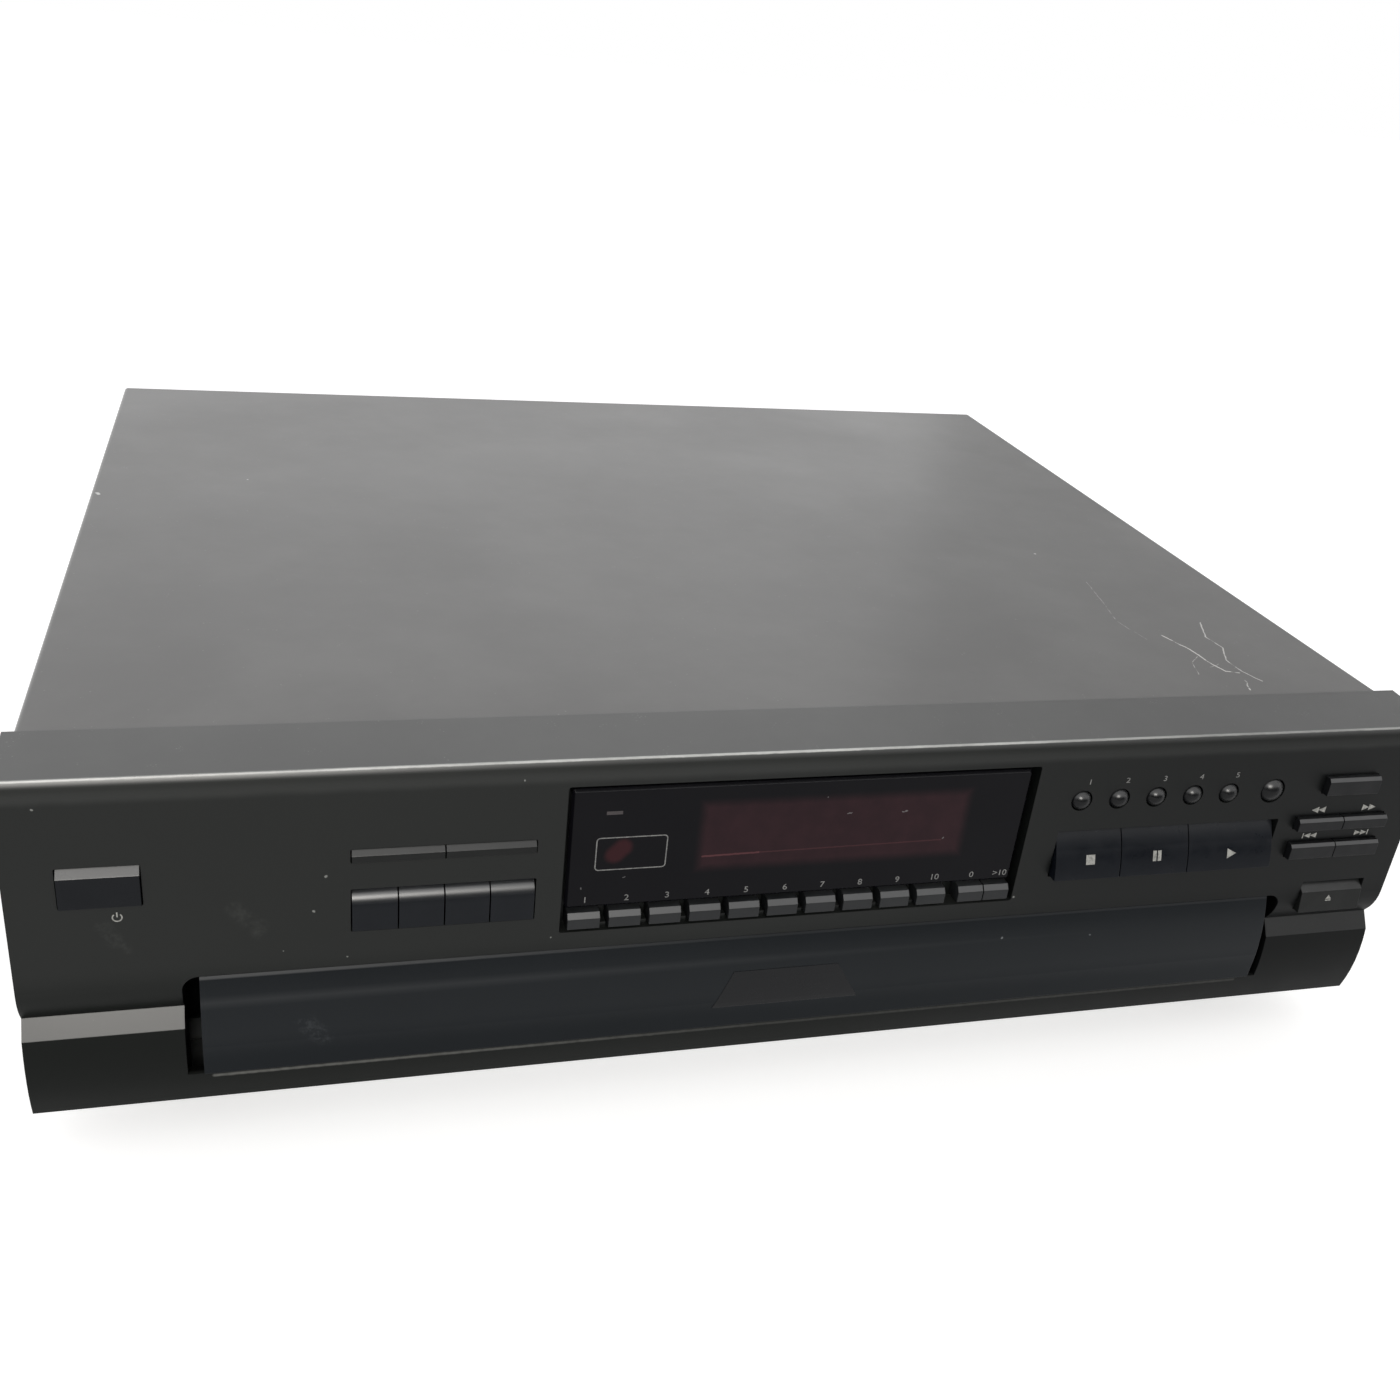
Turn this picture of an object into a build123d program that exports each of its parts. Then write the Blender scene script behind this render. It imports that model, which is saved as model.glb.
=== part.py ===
"""A five disc carousel player: a full width case with a wide drawer under its display.

Millimetres. +X runs to the right as the player is looked at, +Y to the back, +Z up. The origin
lies on the surface the feet stand on, midway between the sides and midway between the frontmost
key and the ends of the rear sockets. Sizes are written in the player's own coordinates: x across,
d as depth behind the face datum, h as height above the underside of the case.
"""

from math import asin, cos, pi, radians, sin, tan
import os

from build123d import *

os.makedirs("parts", exist_ok=True)

# ---------------------------------------------------------------- overall sizes
panel_width = 430.0  # front moulding, end to end
panel_height = 107.8  # case underside to the rear edge of the top ledge
panel_depth = 25.75  # face datum to the rear edge of the top ledge
case_depth = 363.6  # face datum to the rear edge of the top cover
foot_height = 17.2
key_proud = 2.2  # the transport keys stand this far in front of the face datum
socket_reach = 9.0  # output sockets, behind the cover's rear edge

# ---------------------------------------------------------------- gaps and stock
running_gap = 0.3  # between pieces that move past each other
seat_gap = 0.3  # between moulded pieces that only stand next to each other
shaft_gap = 0.1  # radial, round shafts and pins
key_gap = 0.35  # round a key in its slot
key_split = 0.4  # between two keys that share a slot
moulding_wall = 2.5
face_wall = 3.0
sheet = 1.0  # chassis and rear panel steel
cover_sheet = 0.9
chassis_plate = 0.5  # the chassis pan lies this far above the case underside

# ---------------------------------------------------------------- front moulding section
face = 1.0  # depth of the flat face
crest_depth = 2.4  # front edge of the top ledge
crest_height = 106.4
brow_base = 101.5  # the rounded brow meets the flat face here
face_base = 43.0  # the flat face starts to turn in here
tuck_depth = 4.2
tuck_height = 33.2
groove_depth = 4.8
groove_height = 32.3
strip_depth = 1.3  # lower edge of the sloping strip on the side blocks
strip_height = 26.9
chin_depth = 0.57
chin_height = 18.3
hem_depth = 3.2
hem_height = 0.4

# ---------------------------------------------------------------- drawer opening and drawer
opening_half = 174.0
opening_base = 11.0
opening_top = 44.5
opening_round = 4.5
collar_depth = 14.0  # how far the opening's walls run back
drawer_travel = 245.0
drawer_half = 169.5
drawer_top = 43.5
drawer_base = 12.3
drawer_proud = 1.5
drawer_belly = 22.0  # height of the frontmost line of the drawer front
drawer_top_depth = 2.2
drawer_base_proud = 0.9
drawer_back = 8.0
tray_half = 168.6
tray_back = 359.5
tray_skirt = 20.0  # lower edge of the tray's side walls
tray_floor = 22.5
tray_floor_wall = 2.0
tray_top = 38.0
tray_deck_wall = 2.0

# ---------------------------------------------------------------- carousel
disc_count = 5
carousel_depth = 190.8  # of the turning axis
carousel_radius = 165.3
carousel_base = 30.5
carousel_top = 36.5
pocket_circle = 103.5
pocket_radius = 60.6
pocket_drop = 2.0
single_radius = 40.4  # inner step for small discs
single_drop = 1.0
hub_hole_radius = 20.0
lens_slot_width = 20.0
lens_slot_reach = 66.0
centre_recess_radius = 15.0
centre_recess_drop = 1.5
post_radius = 7.0
rail_radius = 142.0
rail_wall = 2.0
ring_module = 1.5
ring_teeth = 96
pinion_teeth = 16
ring_base = 26.0
ring_wall = 4.0
pinion_angle = 225.0

# ---------------------------------------------------------------- gear tooth proportions
addendum = 0.8
dedendum = 1.25
tooth_share = 0.38  # tooth width at the pitch line, as a share of the pitch
pressure_angle = 20.0

# ---------------------------------------------------------------- loading drive
rack_module = 1.25
rack_pinion_teeth = 18
rack_x = 136.0  # pitch line
rack_back_wall = 3.4
rack_base = 14.0
loading_depth = 60.0
wheel_radius = 21.0
wheel_base = 6.0
wheel_height = 4.6
pulley_radius = 4.2
pulley_reach = 48.0  # between the wheel's and the pulley's axes
belt_side = 1.6
belt_gap = 0.3

# ---------------------------------------------------------------- lifting disc deck
spindle_depth = carousel_depth + pocket_circle
pivot_x = -110.0
pivot_height = 20.0
deck_lift = 10.0  # rise of the spindle from rest to play
deck_half = 26.0
deck_plate = (4.0, 6.0)  # above the pivot axis
deck_tail = 6.0
deck_nose = 28.0
lens_rise = 14.4
rod_spread = 17.5
rod_rise = 7.0
rod_radius = 1.5
pickup_start = 23.0  # lens to spindle at the innermost track
pickup_travel = 35.0

# ---------------------------------------------------------------- frame, bridge, clamper
frame_inner = tray_half + 0.6
frame_wall = 2.8
frame_front = 36.0
frame_back = 355.0
frame_floor = chassis_plate + sheet  # stands on the chassis pan
frame_floor_wall = 2.0
frame_top = 46.0
bridge_sheet = 1.2
bridge_half = 30.0
disc_wall = 1.2
clamper_base = tray_top + running_gap
clamper_radius = 17.0
seat_rise = clamper_base - disc_wall - 0.2 - pivot_height  # disc seat above the pivot axis, in play

# ---------------------------------------------------------------- keys
key_travel = 1.5
key_back = 9.5
stem_radius = 1.7
plunger_tip = 15.4
switch_front = 16.4
board_front = 20.0
board_wall = 1.6
switch_side = 6.0

# ---------------------------------------------------------------- display
recess_x = (-71.8, 71.8)
recess_h = (50.3, 98.6)
recess_floor = 6.5
recess_floor_wall = 2.5
view_x = (-66.0, 66.0)  # the window through the recess floor
view_h = (61.0, 93.0)
view_corner = 2.0
peg_inset = 1.5
peg_radius = 1.2
lens_x = (-70.4, 70.4)
lens_h = (57.3, 96.6)
lens_front = 2.6
lens_back = 6.2
lens_bevel = 0.8
lens_corner = 1.2

# ---------------------------------------------------------------- case
cover_inset = 1.6  # the cover's sides stand this far inside the panel's ends
cover_half = panel_width / 2 - cover_inset
cover_top = 105.15
cover_base = 0.5
cover_bend = 1.6
chassis_half = cover_half - cover_sheet - seat_gap
chassis_front = panel_depth + seat_gap
flange_height = 14.0
front_flange_height = 10.4
rear_plate_depth = case_depth - cover_sheet - sheet
foot_radius = 20.0
foot_x = panel_width / 2 - 40.0
foot_depths = (chassis_front + foot_radius + seat_gap, case_depth - 41.6)
screw_radius = 1.5
screw_head_radius = 3.4
screw_head = 1.5
side_screw_depths = (60.0, case_depth - 33.6)
side_screw_h = 9.0
side_shank = 3.5
rear_screw_xs = (-150.0, 0.0, 150.0)
rear_screw_h = 99.5

face_y = -(case_depth + socket_reach - key_proud) / 2


# ---------------------------------------------------------------- planes and simple solids
def floor_plane(h):
    """Looks down on the player at height h; local axes are x and d."""
    return Plane((0, face_y, foot_height + h))


def front_plane(d):
    """Faces forward at depth d; local axes are x and h."""
    return Plane((0, face_y + d, foot_height), x_dir=(1, 0, 0), z_dir=(0, -1, 0))


def side_plane(x):
    """Cuts the player from front to back at x; local axes are d and h."""
    return Plane((x, face_y, foot_height), x_dir=(0, 1, 0), z_dir=(1, 0, 0))


def middle(span):
    return (span[0] + span[1]) / 2


def extent(span):
    return span[1] - span[0]


def block(x, d, h, mode=Mode.ADD):
    """A rectangular block between two values on each axis."""
    with BuildSketch(floor_plane(h[0])) as base:
        with Locations((middle(x), middle(d))):
            Rectangle(extent(x), extent(d))
    extrude(base.sketch, amount=extent(h), mode=mode)


def upright(x, d, h, radius, mode=Mode.ADD):
    """A cylinder that stands on end at x, d."""
    with BuildSketch(floor_plane(h[0])) as base:
        with Locations((x, d)):
            Circle(radius)
    extrude(base.sketch, amount=extent(h), mode=mode)


def barrel(x, h, d, radius, mode=Mode.ADD):
    """A cylinder that points front to back at x, h."""
    with BuildSketch(front_plane(d[0])) as base:
        with Locations((x, h)):
            Circle(radius)
    extrude(base.sketch, amount=-extent(d), mode=mode)


def window(x, h, d, corner, mode=Mode.SUBTRACT):
    """A rounded rectangular prism that points front to back."""
    with BuildSketch(front_plane(d[0])) as base:
        with Locations((middle(x), middle(h))):
            RectangleRounded(extent(x), extent(h), corner)
    extrude(base.sketch, amount=-extent(d), mode=mode)


def grown(span, gap):
    return (span[0] - gap, span[1] + gap)


def finish(part, name):
    """Names a piece and writes it."""
    part.label = name
    export_step(part, f"parts/{name}.step")


# ---------------------------------------------------------------- key layout
def row_of_keys(names, x, h, gap):
    """Splits one slot's width evenly between keys, leaving the same gap between them."""
    width = (extent(x) - gap * (len(names) - 1)) / len(names)
    starts = [x[0] + i * (width + gap) for i in range(len(names))]
    return {name: ((start, start + width), h) for name, start in zip(names, starts)}


power_slot = ((-202.4, -181.8), (68.8, 81.3))
scan_slot = ((-129.6, -79.4), (78.0, 82.4))
mode_slot = ((-129.6, -79.2), (55.8, 69.7))
transport_slot = ((82.8, 162.8), (58.3, 75.0))
program_slot = ((175.9, 196.3), (83.8, 90.6))
search_slot = ((169.3, 204.1), (70.6, 75.6))
skip_slot = ((169.3, 204.1), (59.8, 66.0))
open_slot = ((181.2, 205.8), (37.4, 49.0))
number_width = 9.4
number_pitch = 12.06
number_first = -64.8
number_h = (51.1, 56.2)
last_numbers_x = (53.0, 70.0)
disc_key_first = 88.2
disc_key_pitch = 13.1
disc_key_h = 85.8
disc_key_radius = 3.2
skip_disc_x = 157.0
skip_disc_radius = 4.0
stop_pause_edge = 106.5
pause_play_edge = 130.9
transport_right = 162.2


def inside(slot):
    """The room a slot leaves for its keys."""
    return grown(slot[0], -key_gap), grown(slot[1], -key_gap)


def number_x(i):
    """Left and right edge of number key i, counted from 0."""
    if i < 10:
        centre = number_first + i * number_pitch
        return centre - number_width / 2, centre + number_width / 2
    half = (extent(last_numbers_x) - key_split) / 2
    start = last_numbers_x[0] + (i - 10) * (half + key_split)
    return start, start + half


bar_keys = {"power_key": inside(power_slot), "program_key": inside(program_slot)}
bar_keys |= row_of_keys(["scan_key", "edit_key"], *inside(scan_slot), key_split)
bar_keys |= row_of_keys(["search_back_key", "search_forward_key"], *inside(search_slot), key_split)
bar_keys |= row_of_keys(["skip_back_key", "skip_forward_key"], *inside(skip_slot), key_split)
bar_keys |= {f"number_key_{i + 1}": (number_x(i), number_h) for i in range(12)}
# front depth of the cap, then how far its top facet leans back and how tall that facet is
bar_facets = {
    "power": (0.0, 2.0, 2.4),
    "program": (-1.5, 0.9, 1.1),
    "scan": (0.2, 1.3, 1.5),
    "edit": (0.2, 1.3, 1.5),
    "search": (-1.5, 0.9, 1.0),
    "skip": (-1.5, 0.9, 1.0),
    "number": (0.8, 1.2, 1.6),
}
mode_names = ["time_key", "spiral_key", "random_key", "repeat_key"]
mode_keys = row_of_keys(mode_names, *inside(mode_slot), key_split)
disc_keys = {f"disc_key_{i + 1}": disc_key_first + i * disc_key_pitch for i in range(disc_count)}
transport_x = {
    "stop_key": (transport_slot[0][0] + 2 * key_gap, stop_pause_edge - key_split / 2),
    "pause_key": (stop_pause_edge + key_split / 2, pause_play_edge - key_split / 2),
    "play_key": (pause_play_edge + key_split / 2, transport_right),
}
transport_h = grown(transport_slot[1], -key_gap)
open_x, open_h = inside(open_slot)

# every key presses one switch on the front board, behind its middle
switches = {name: (middle(x), middle(h)) for name, (x, h) in (bar_keys | mode_keys).items()}
switches |= {name: (x, disc_key_h) for name, x in disc_keys.items()}
switches["disc_skip_key"] = (skip_disc_x, disc_key_h)
switches |= {name: (middle(x), middle(transport_h)) for name, x in transport_x.items()}
switches["open_close_key"] = (middle(open_x), middle(open_h))


# ================================================================ front moulding
cavity_back = panel_depth + 1.0
cut_front = -5.0
lip_wall_depth = 4.2
block_wall_depth = 7.3
upper_wall_depth = face + face_wall
collar_half = opening_half + moulding_wall
collar_top = opening_top + moulding_wall
roof = crest_height - moulding_wall
inner_half = panel_width / 2 - moulding_wall
floor_top = hem_height + moulding_wall
boss_margin = 2.6
glint_post_width = 1.6
glint_post_top = recess_h[0] + 1.7
glint_post_front = 2.6
cover_seat = 3.0  # rebate behind the ledge that carries the cover's front edge
cover_seat_top = cover_top - cover_sheet - 0.2
board_posts = [(x, h) for x in (-160.0, -80.5, 76.0) for h in (52.0, 94.0)] + [(207.0, 80.0)]
board_post_radius = 3.0

with BuildPart() as front_panel:
    with BuildSketch(side_plane(-panel_width / 2)):
        with BuildLine():
            Line((panel_depth, panel_height), (crest_depth, crest_height))
            TangentArc((face, brow_base), (crest_depth, crest_height), tangent=(0, 1))
            Line((face, brow_base), (face, face_base))
            TangentArc((face, face_base), (tuck_depth, tuck_height), tangent=(0, -1))
            Line((tuck_depth, tuck_height), (groove_depth, groove_height))
            Line((groove_depth, groove_height), (strip_depth, strip_height))
            ThreePointArc(
                (strip_depth, strip_height), (chin_depth, chin_height), (hem_depth, hem_height)
            )
            Line((hem_depth, hem_height), (panel_depth, hem_height))
            Line((panel_depth, hem_height), (panel_depth, panel_height))
        make_face()
    extrude(amount=panel_width)
    # hollow from behind: upper face, the two side blocks, and everything behind the collar
    block((-inner_half, inner_half), (collar_depth, cavity_back), (floor_top, roof), Mode.SUBTRACT)
    block(
        (-inner_half, inner_half), (upper_wall_depth, cavity_back), (collar_top, roof), Mode.SUBTRACT
    )
    for side in (-1, 1):
        span = sorted((side * collar_half, side * inner_half))
        block(span, (block_wall_depth, cavity_back), (floor_top, collar_top), Mode.SUBTRACT)
    block(
        (-opening_half, opening_half),
        (lip_wall_depth, cavity_back),
        (floor_top, opening_base + 1.0),
        Mode.SUBTRACT,
    )
    # the drawer opening, rounded at its upper corners
    with BuildSketch(front_plane(cut_front)) as drawer_opening:
        with Locations((0, (opening_base + opening_top) / 2)):
            Rectangle(2 * opening_half, opening_top - opening_base)
        fillet(drawer_opening.vertices().group_by(Axis.Y)[-1], opening_round)
    extrude(amount=-(cavity_back - cut_front), mode=Mode.SUBTRACT)
    # the thick box round the display recess, then the recess and the window through its floor
    recess_back = recess_floor + recess_floor_wall
    block(
        grown(recess_x, boss_margin),
        (face + 0.5, recess_back),
        (collar_top - 0.5, recess_h[1] + boss_margin),
    )
    window(recess_x, recess_h, (cut_front, recess_floor), 0.8)
    window(view_x, view_h, (cut_front, recess_back + 1.0), view_corner)
    # key slots
    for slot in (power_slot, scan_slot, mode_slot, transport_slot, program_slot):
        window(*slot, (cut_front, collar_depth), 0.5)
    for slot in (search_slot, skip_slot, open_slot):
        window(*slot, (cut_front, collar_depth), 0.5)
    for i in range(12):
        window(
            grown(number_x(i), key_gap if i < 10 else key_gap / 2 - 0.01),
            grown(number_h, key_gap),
            (face + 0.2, recess_back + 1.0),
            0.3,
        )
    for x in disc_keys.values():
        barrel(x, disc_key_h, (cut_front, collar_depth), disc_key_radius + key_gap, Mode.SUBTRACT)
    barrel(
        skip_disc_x,
        disc_key_h,
        (cut_front, collar_depth),
        skip_disc_radius + key_gap,
        Mode.SUBTRACT,
    )
    # little posts between the number keys
    for i in range(9):
        x = number_first + (i + 0.5) * number_pitch
        block(
            (x - glint_post_width / 2, x + glint_post_width / 2),
            (glint_post_front, recess_floor + 0.1),
            (recess_h[0] - 0.5, glint_post_top),
        )
    # posts for the front board
    for x, h in board_posts:
        barrel(x, h, (upper_wall_depth - 0.2, board_front), board_post_radius)
    # rebate that the top cover's front edge lies on
    block(
        (-inner_half, inner_half),
        (panel_depth - moulding_wall, panel_depth + cover_seat),
        (cover_seat_top - moulding_wall, cover_seat_top),
    )
    block(
        (-inner_half, inner_half),
        (panel_depth - moulding_wall, panel_depth),
        (cover_seat_top - moulding_wall, roof + 1.0),
    )
finish(front_panel.part, "front_panel")

# ================================================================ display window
with BuildPart() as display_window:
    window(lens_x, lens_h, (lens_front, lens_back), lens_corner, Mode.ADD)
    chamfer(display_window.faces().sort_by(Axis.Y)[0].edges(), lens_bevel)
    # four pegs that press into the corners of the window through the recess floor
    for x in grown(view_x, -peg_inset):
        for h in grown(view_h, -peg_inset):
            barrel(x, h, (lens_back - 0.1, recess_floor + 1.5), peg_radius)
finish(display_window.part, "display_window")


# ================================================================ keys
def add_stem(name):
    """The peg behind a cap that reaches for its switch."""
    x, h = switches[name]
    tip = plunger_tip - key_travel - running_gap
    barrel(x, h, (key_back - 0.2, tip), stem_radius)


for name, (x, h) in bar_keys.items():
    front, lean, facet = bar_facets[name.split("_")[0]]
    with BuildPart() as key:
        with BuildSketch(side_plane(x[0])):
            with BuildLine():
                Polyline(
                    (key_back, h[0]),
                    (front, h[0]),
                    (front, h[1] - facet),
                    (front + lean, h[1]),
                    (key_back, h[1]),
                    close=True,
                )
            make_face()
        extrude(amount=extent(x))
        fillet(key.edges().filter_by(Axis.X).group_by(Axis.Y)[0], 0.35)
        add_stem(name)
    finish(key.part, name)

mode_front = 0.6
mode_lean = 3.2
mode_facet = 6.0
mode_drop = 0.9
for name, (x, h) in mode_keys.items():
    with BuildPart() as key:
        with BuildSketch(side_plane(x[0])):
            with BuildLine():
                Line((key_back, h[0]), (mode_front, h[0]))
                Line((mode_front, h[0]), (mode_front, h[1] - mode_facet))
                TangentArc(
                    (mode_front, h[1] - mode_facet),
                    (mode_front + mode_lean, h[1] - mode_drop),
                    tangent=(0, 1),
                )
                Line((mode_front + mode_lean, h[1] - mode_drop), (key_back, h[1] - mode_drop))
                Line((key_back, h[1] - mode_drop), (key_back, h[0]))
            make_face()
        extrude(amount=extent(x))
        add_stem(name)
    finish(key.part, name)

dome_base = 1.5
dome_front = -0.9
for name, (x, h) in switches.items():
    if not name.startswith("disc_"):
        continue
    radius = skip_disc_radius if name == "disc_skip_key" else disc_key_radius
    axis_plane = Plane((x, face_y, foot_height + h), x_dir=(1, 0, 0), z_dir=(0, 0, 1))
    with BuildPart() as key:
        with BuildSketch(axis_plane):
            with BuildLine():
                TangentArc((0, dome_front), (radius, dome_base), tangent=(1, 0))
                Line((radius, dome_base), (radius, key_back))
                Line((radius, key_back), (0, key_back))
                Line((0, key_back), (0, dome_front))
            make_face()
        revolve(axis=Axis((x, face_y, foot_height + h), (0, 1, 0)))
        add_stem(name)
    finish(key.part, name)

transport_bulge = (0.2, 67.2)  # depth and height of the middle of the swelling front
transport_top_depth = 4.3
for name, x in transport_x.items():
    with BuildPart() as key:
        with BuildSketch(side_plane(x[0])):
            with BuildLine():
                Line((key_back, transport_h[0]), (-key_proud, transport_h[0]))
                ThreePointArc(
                    (-key_proud, transport_h[0]),
                    transport_bulge,
                    (transport_top_depth, transport_h[1]),
                )
                Line((transport_top_depth, transport_h[1]), (key_back, transport_h[1]))
                Line((key_back, transport_h[1]), (key_back, transport_h[0]))
            make_face()
        extrude(amount=extent(x))
        add_stem(name)
    finish(key.part, name)

open_lip = -0.8
open_brow = (0.2, 45.2)
open_top_depth = 4.0
with BuildPart() as open_close_key:
    with BuildSketch(side_plane(open_x[0])):
        with BuildLine():
            Polyline(
                (key_back, open_h[0]),
                (open_lip, open_h[0]),
                open_brow,
                (open_top_depth, open_h[1]),
                (key_back, open_h[1]),
                close=True,
            )
        make_face()
    extrude(amount=extent(open_x))
    add_stem("open_close_key")
finish(open_close_key.part, "open_close_key")

# ================================================================ front board
tube_x = (-33.0, 53.0)
tube_h = (66.0, 93.0)
tube_d = (recess_floor + recess_floor_wall + 0.6, 16.5)
sensor_x = -52.5
sensor_h = 75.2
board_x = (-inner_half + 1.5, inner_half - 1.5)
board_h = (48.6, 100.5)
board_tab_x = (180.0, board_x[1])
board_tab_h = (36.0, 48.6)
board_back = board_front + board_wall

with BuildPart() as front_board:
    block(board_x, (board_front, board_back), board_h)
    block(board_tab_x, (board_front, board_back), (board_tab_h[0], board_tab_h[1] + 0.1))
    for x, h in switches.values():
        half = switch_side / 2
        block((x - half, x + half), (switch_front, board_front + 0.1), (h - half, h + half))
        barrel(x, h, (plunger_tip, switch_front + 0.1), stem_radius)
    # fluorescent display tube on its holder, and the remote sensor's shield can
    block(tube_x, tube_d, tube_h)
    block(grown(tube_x, 1.5), (tube_d[1] - 0.1, board_front + 0.1), grown(tube_h, -3.0))
    block(
        (sensor_x - 5.0, sensor_x + 5.0),
        (recess_floor + recess_floor_wall + 1.0, board_front + 0.1),
        (sensor_h - 5.5, sensor_h + 5.5),
    )
    # plug housings on the back of the board
    for x in (-120.0, 0.0, 120.0):
        block((x - 11.0, x + 11.0), (board_back - 0.1, board_back + 3.4), (84.0, 90.0))
finish(front_board.part, "front_board")

# ================================================================ sheet metal case
cover_inner_half = cover_half - cover_sheet
cover_front = panel_depth + seat_gap
rear_lip_base = 93.0
screw_hole_gap = 0.3
screw_hole_radius = screw_radius + screw_hole_gap

with BuildPart() as top_cover:
    with BuildSketch(front_plane(cover_front)):
        with BuildLine():
            Line((-cover_half, cover_base), (-cover_half, cover_top - cover_bend))
            RadiusArc(
                (-cover_half, cover_top - cover_bend), (-cover_half + cover_bend, cover_top), cover_bend
            )
            Line((-cover_half + cover_bend, cover_top), (cover_half - cover_bend, cover_top))
            RadiusArc(
                (cover_half - cover_bend, cover_top), (cover_half, cover_top - cover_bend), cover_bend
            )
            Line((cover_half, cover_top - cover_bend), (cover_half, cover_base))
            Line((cover_half, cover_base), (-cover_half, cover_base))
        make_face()
    extrude(amount=-(case_depth - cover_front))
    block(
        (-cover_inner_half, cover_inner_half),
        (cover_front - 1.0, case_depth - cover_sheet),
        (cover_base - 1.0, cover_top - cover_sheet),
        Mode.SUBTRACT,
    )
    # the rear lip hangs only a little way down behind the rear panel
    block(
        (-cover_inner_half, cover_inner_half),
        (case_depth - 2 * cover_sheet, case_depth + 1.0),
        (cover_base - 1.0, rear_lip_base),
        Mode.SUBTRACT,
    )
    for x in rear_screw_xs:
        barrel(
            x,
            rear_screw_h,
            (case_depth - 2 * cover_sheet, case_depth + 1.0),
            screw_hole_radius,
            Mode.SUBTRACT,
        )
    for d in side_screw_depths:
        with BuildSketch(side_plane(-cover_half - 1.0)):
            with Locations((d, side_screw_h)):
                Circle(screw_hole_radius)
        extrude(amount=2 * cover_half + 2.0, mode=Mode.SUBTRACT)
finish(top_cover.part, "top_cover")

vent_count = 14
vent_pitch = 7.0
vent_length = 34.0
vent_width = 3.0
vent_first_depth = 205.0
vent_xs = (-120.0, 120.0)
board_stand_x = (183.0, 205.0)
board_stand_depths = (80.0, 190.0, 330.0)
main_board_h = 8.0

with BuildPart() as chassis_base:
    chassis_top = chassis_plate + sheet
    chassis_x = (-chassis_half, chassis_half)
    block(chassis_x, (chassis_front, rear_plate_depth), (chassis_plate, chassis_top))
    for side in (-1, 1):
        flange = sorted((side * chassis_half, side * (chassis_half - sheet)))
        block(flange, (chassis_front, rear_plate_depth), (chassis_plate, flange_height))
    block(chassis_x, (chassis_front, chassis_front + sheet), (chassis_plate, front_flange_height))
    # rows of cooling slots
    for x in vent_xs:
        with BuildSketch(floor_plane(chassis_plate - 1.0)):
            with Locations((x, vent_first_depth + vent_pitch * (vent_count - 1) / 2)):
                with GridLocations(0, vent_pitch, 1, vent_count):
                    SlotOverall(vent_length, vent_width)
        extrude(amount=sheet + 2.0, mode=Mode.SUBTRACT)
    for d in side_screw_depths:
        with BuildSketch(side_plane(-cover_half)):
            with Locations((d, side_screw_h)):
                Circle(screw_radius + shaft_gap)
        extrude(amount=2 * cover_half, mode=Mode.SUBTRACT)
    # drawn pillars under the main board
    for x in board_stand_x:
        for d in board_stand_depths:
            upright(x, d, (chassis_top - 0.1, main_board_h), 3.0)
finish(chassis_base.part, "chassis_base")

jack_x = 190.0
jack_hs = (34.0, 54.0)
jack_radius = 4.15
jack_bore = 1.6
jack_collar_radius = 7.0
jack_housing_x = (180.0, 200.0)
jack_housing_h = (23.0, 65.0)
jack_housing_front = rear_plate_depth - 11.7
inlet_x = -192.0
inlet_h = 30.0
inlet_width = 22.0
inlet_height = 15.0
inlet_wall = 2.7
inlet_front = rear_plate_depth - 12.7
inlet_flange = 2.0
inlet_recess = 12.0
inlet_pin_radius = 1.2
inlet_pin_pitch = 8.6
rear_plate = (rear_plate_depth, rear_plate_depth + sheet)
rear_top = cover_top - cover_sheet - seat_gap
inlet_span_x = (inlet_x - inlet_width / 2, inlet_x + inlet_width / 2)
inlet_span_h = (inlet_h - inlet_height / 2, inlet_h + inlet_height / 2)

with BuildPart() as rear_panel:
    block((-chassis_half, chassis_half), rear_plate, (chassis_plate, rear_top))
    for h in jack_hs:
        barrel(jack_x, h, grown(rear_plate, 1.0), jack_radius + shaft_gap, Mode.SUBTRACT)
    window(
        grown(inlet_span_x, shaft_gap), grown(inlet_span_h, shaft_gap), grown(rear_plate, 1.0), 1.0
    )
    for x in rear_screw_xs:
        barrel(x, rear_screw_h, grown(rear_plate, 1.0), screw_radius + shaft_gap, Mode.SUBTRACT)
finish(rear_panel.part, "rear_panel")

with BuildPart() as rear_sockets:
    # two output sockets, one above the other, on one housing
    block(jack_housing_x, (jack_housing_front, rear_plate[0]), jack_housing_h)
    for h in jack_hs:
        barrel(jack_x, h, (rear_plate[0] - 0.1, case_depth + socket_reach), jack_radius)
        barrel(jack_x, h, (rear_plate[1] + 0.1, case_depth + 0.6), jack_collar_radius)
        barrel(
            jack_x,
            h,
            (jack_housing_front + 4.0, case_depth + socket_reach + 1.0),
            jack_bore,
            Mode.SUBTRACT,
        )
    # two pin mains inlet
    inlet_back = rear_plate[1] + inlet_flange
    window(inlet_span_x, inlet_span_h, (inlet_front, inlet_back), 1.0, Mode.ADD)
    window(
        grown(inlet_span_x, 2.0), grown(inlet_span_h, 2.0), (rear_plate[1], inlet_back), 2.0, Mode.ADD
    )
    window(
        grown(inlet_span_x, -inlet_wall),
        grown(inlet_span_h, -inlet_wall),
        (inlet_back - inlet_recess, inlet_back + 1.0),
        (inlet_height / 2 - inlet_wall) * 0.9,
    )
    for side in (-1, 1):
        barrel(
            inlet_x + side * inlet_pin_pitch / 2,
            inlet_h,
            (inlet_back - inlet_recess - 0.1, inlet_back - 2.0),
            inlet_pin_radius,
        )
finish(rear_sockets.part, "rear_sockets")

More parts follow.
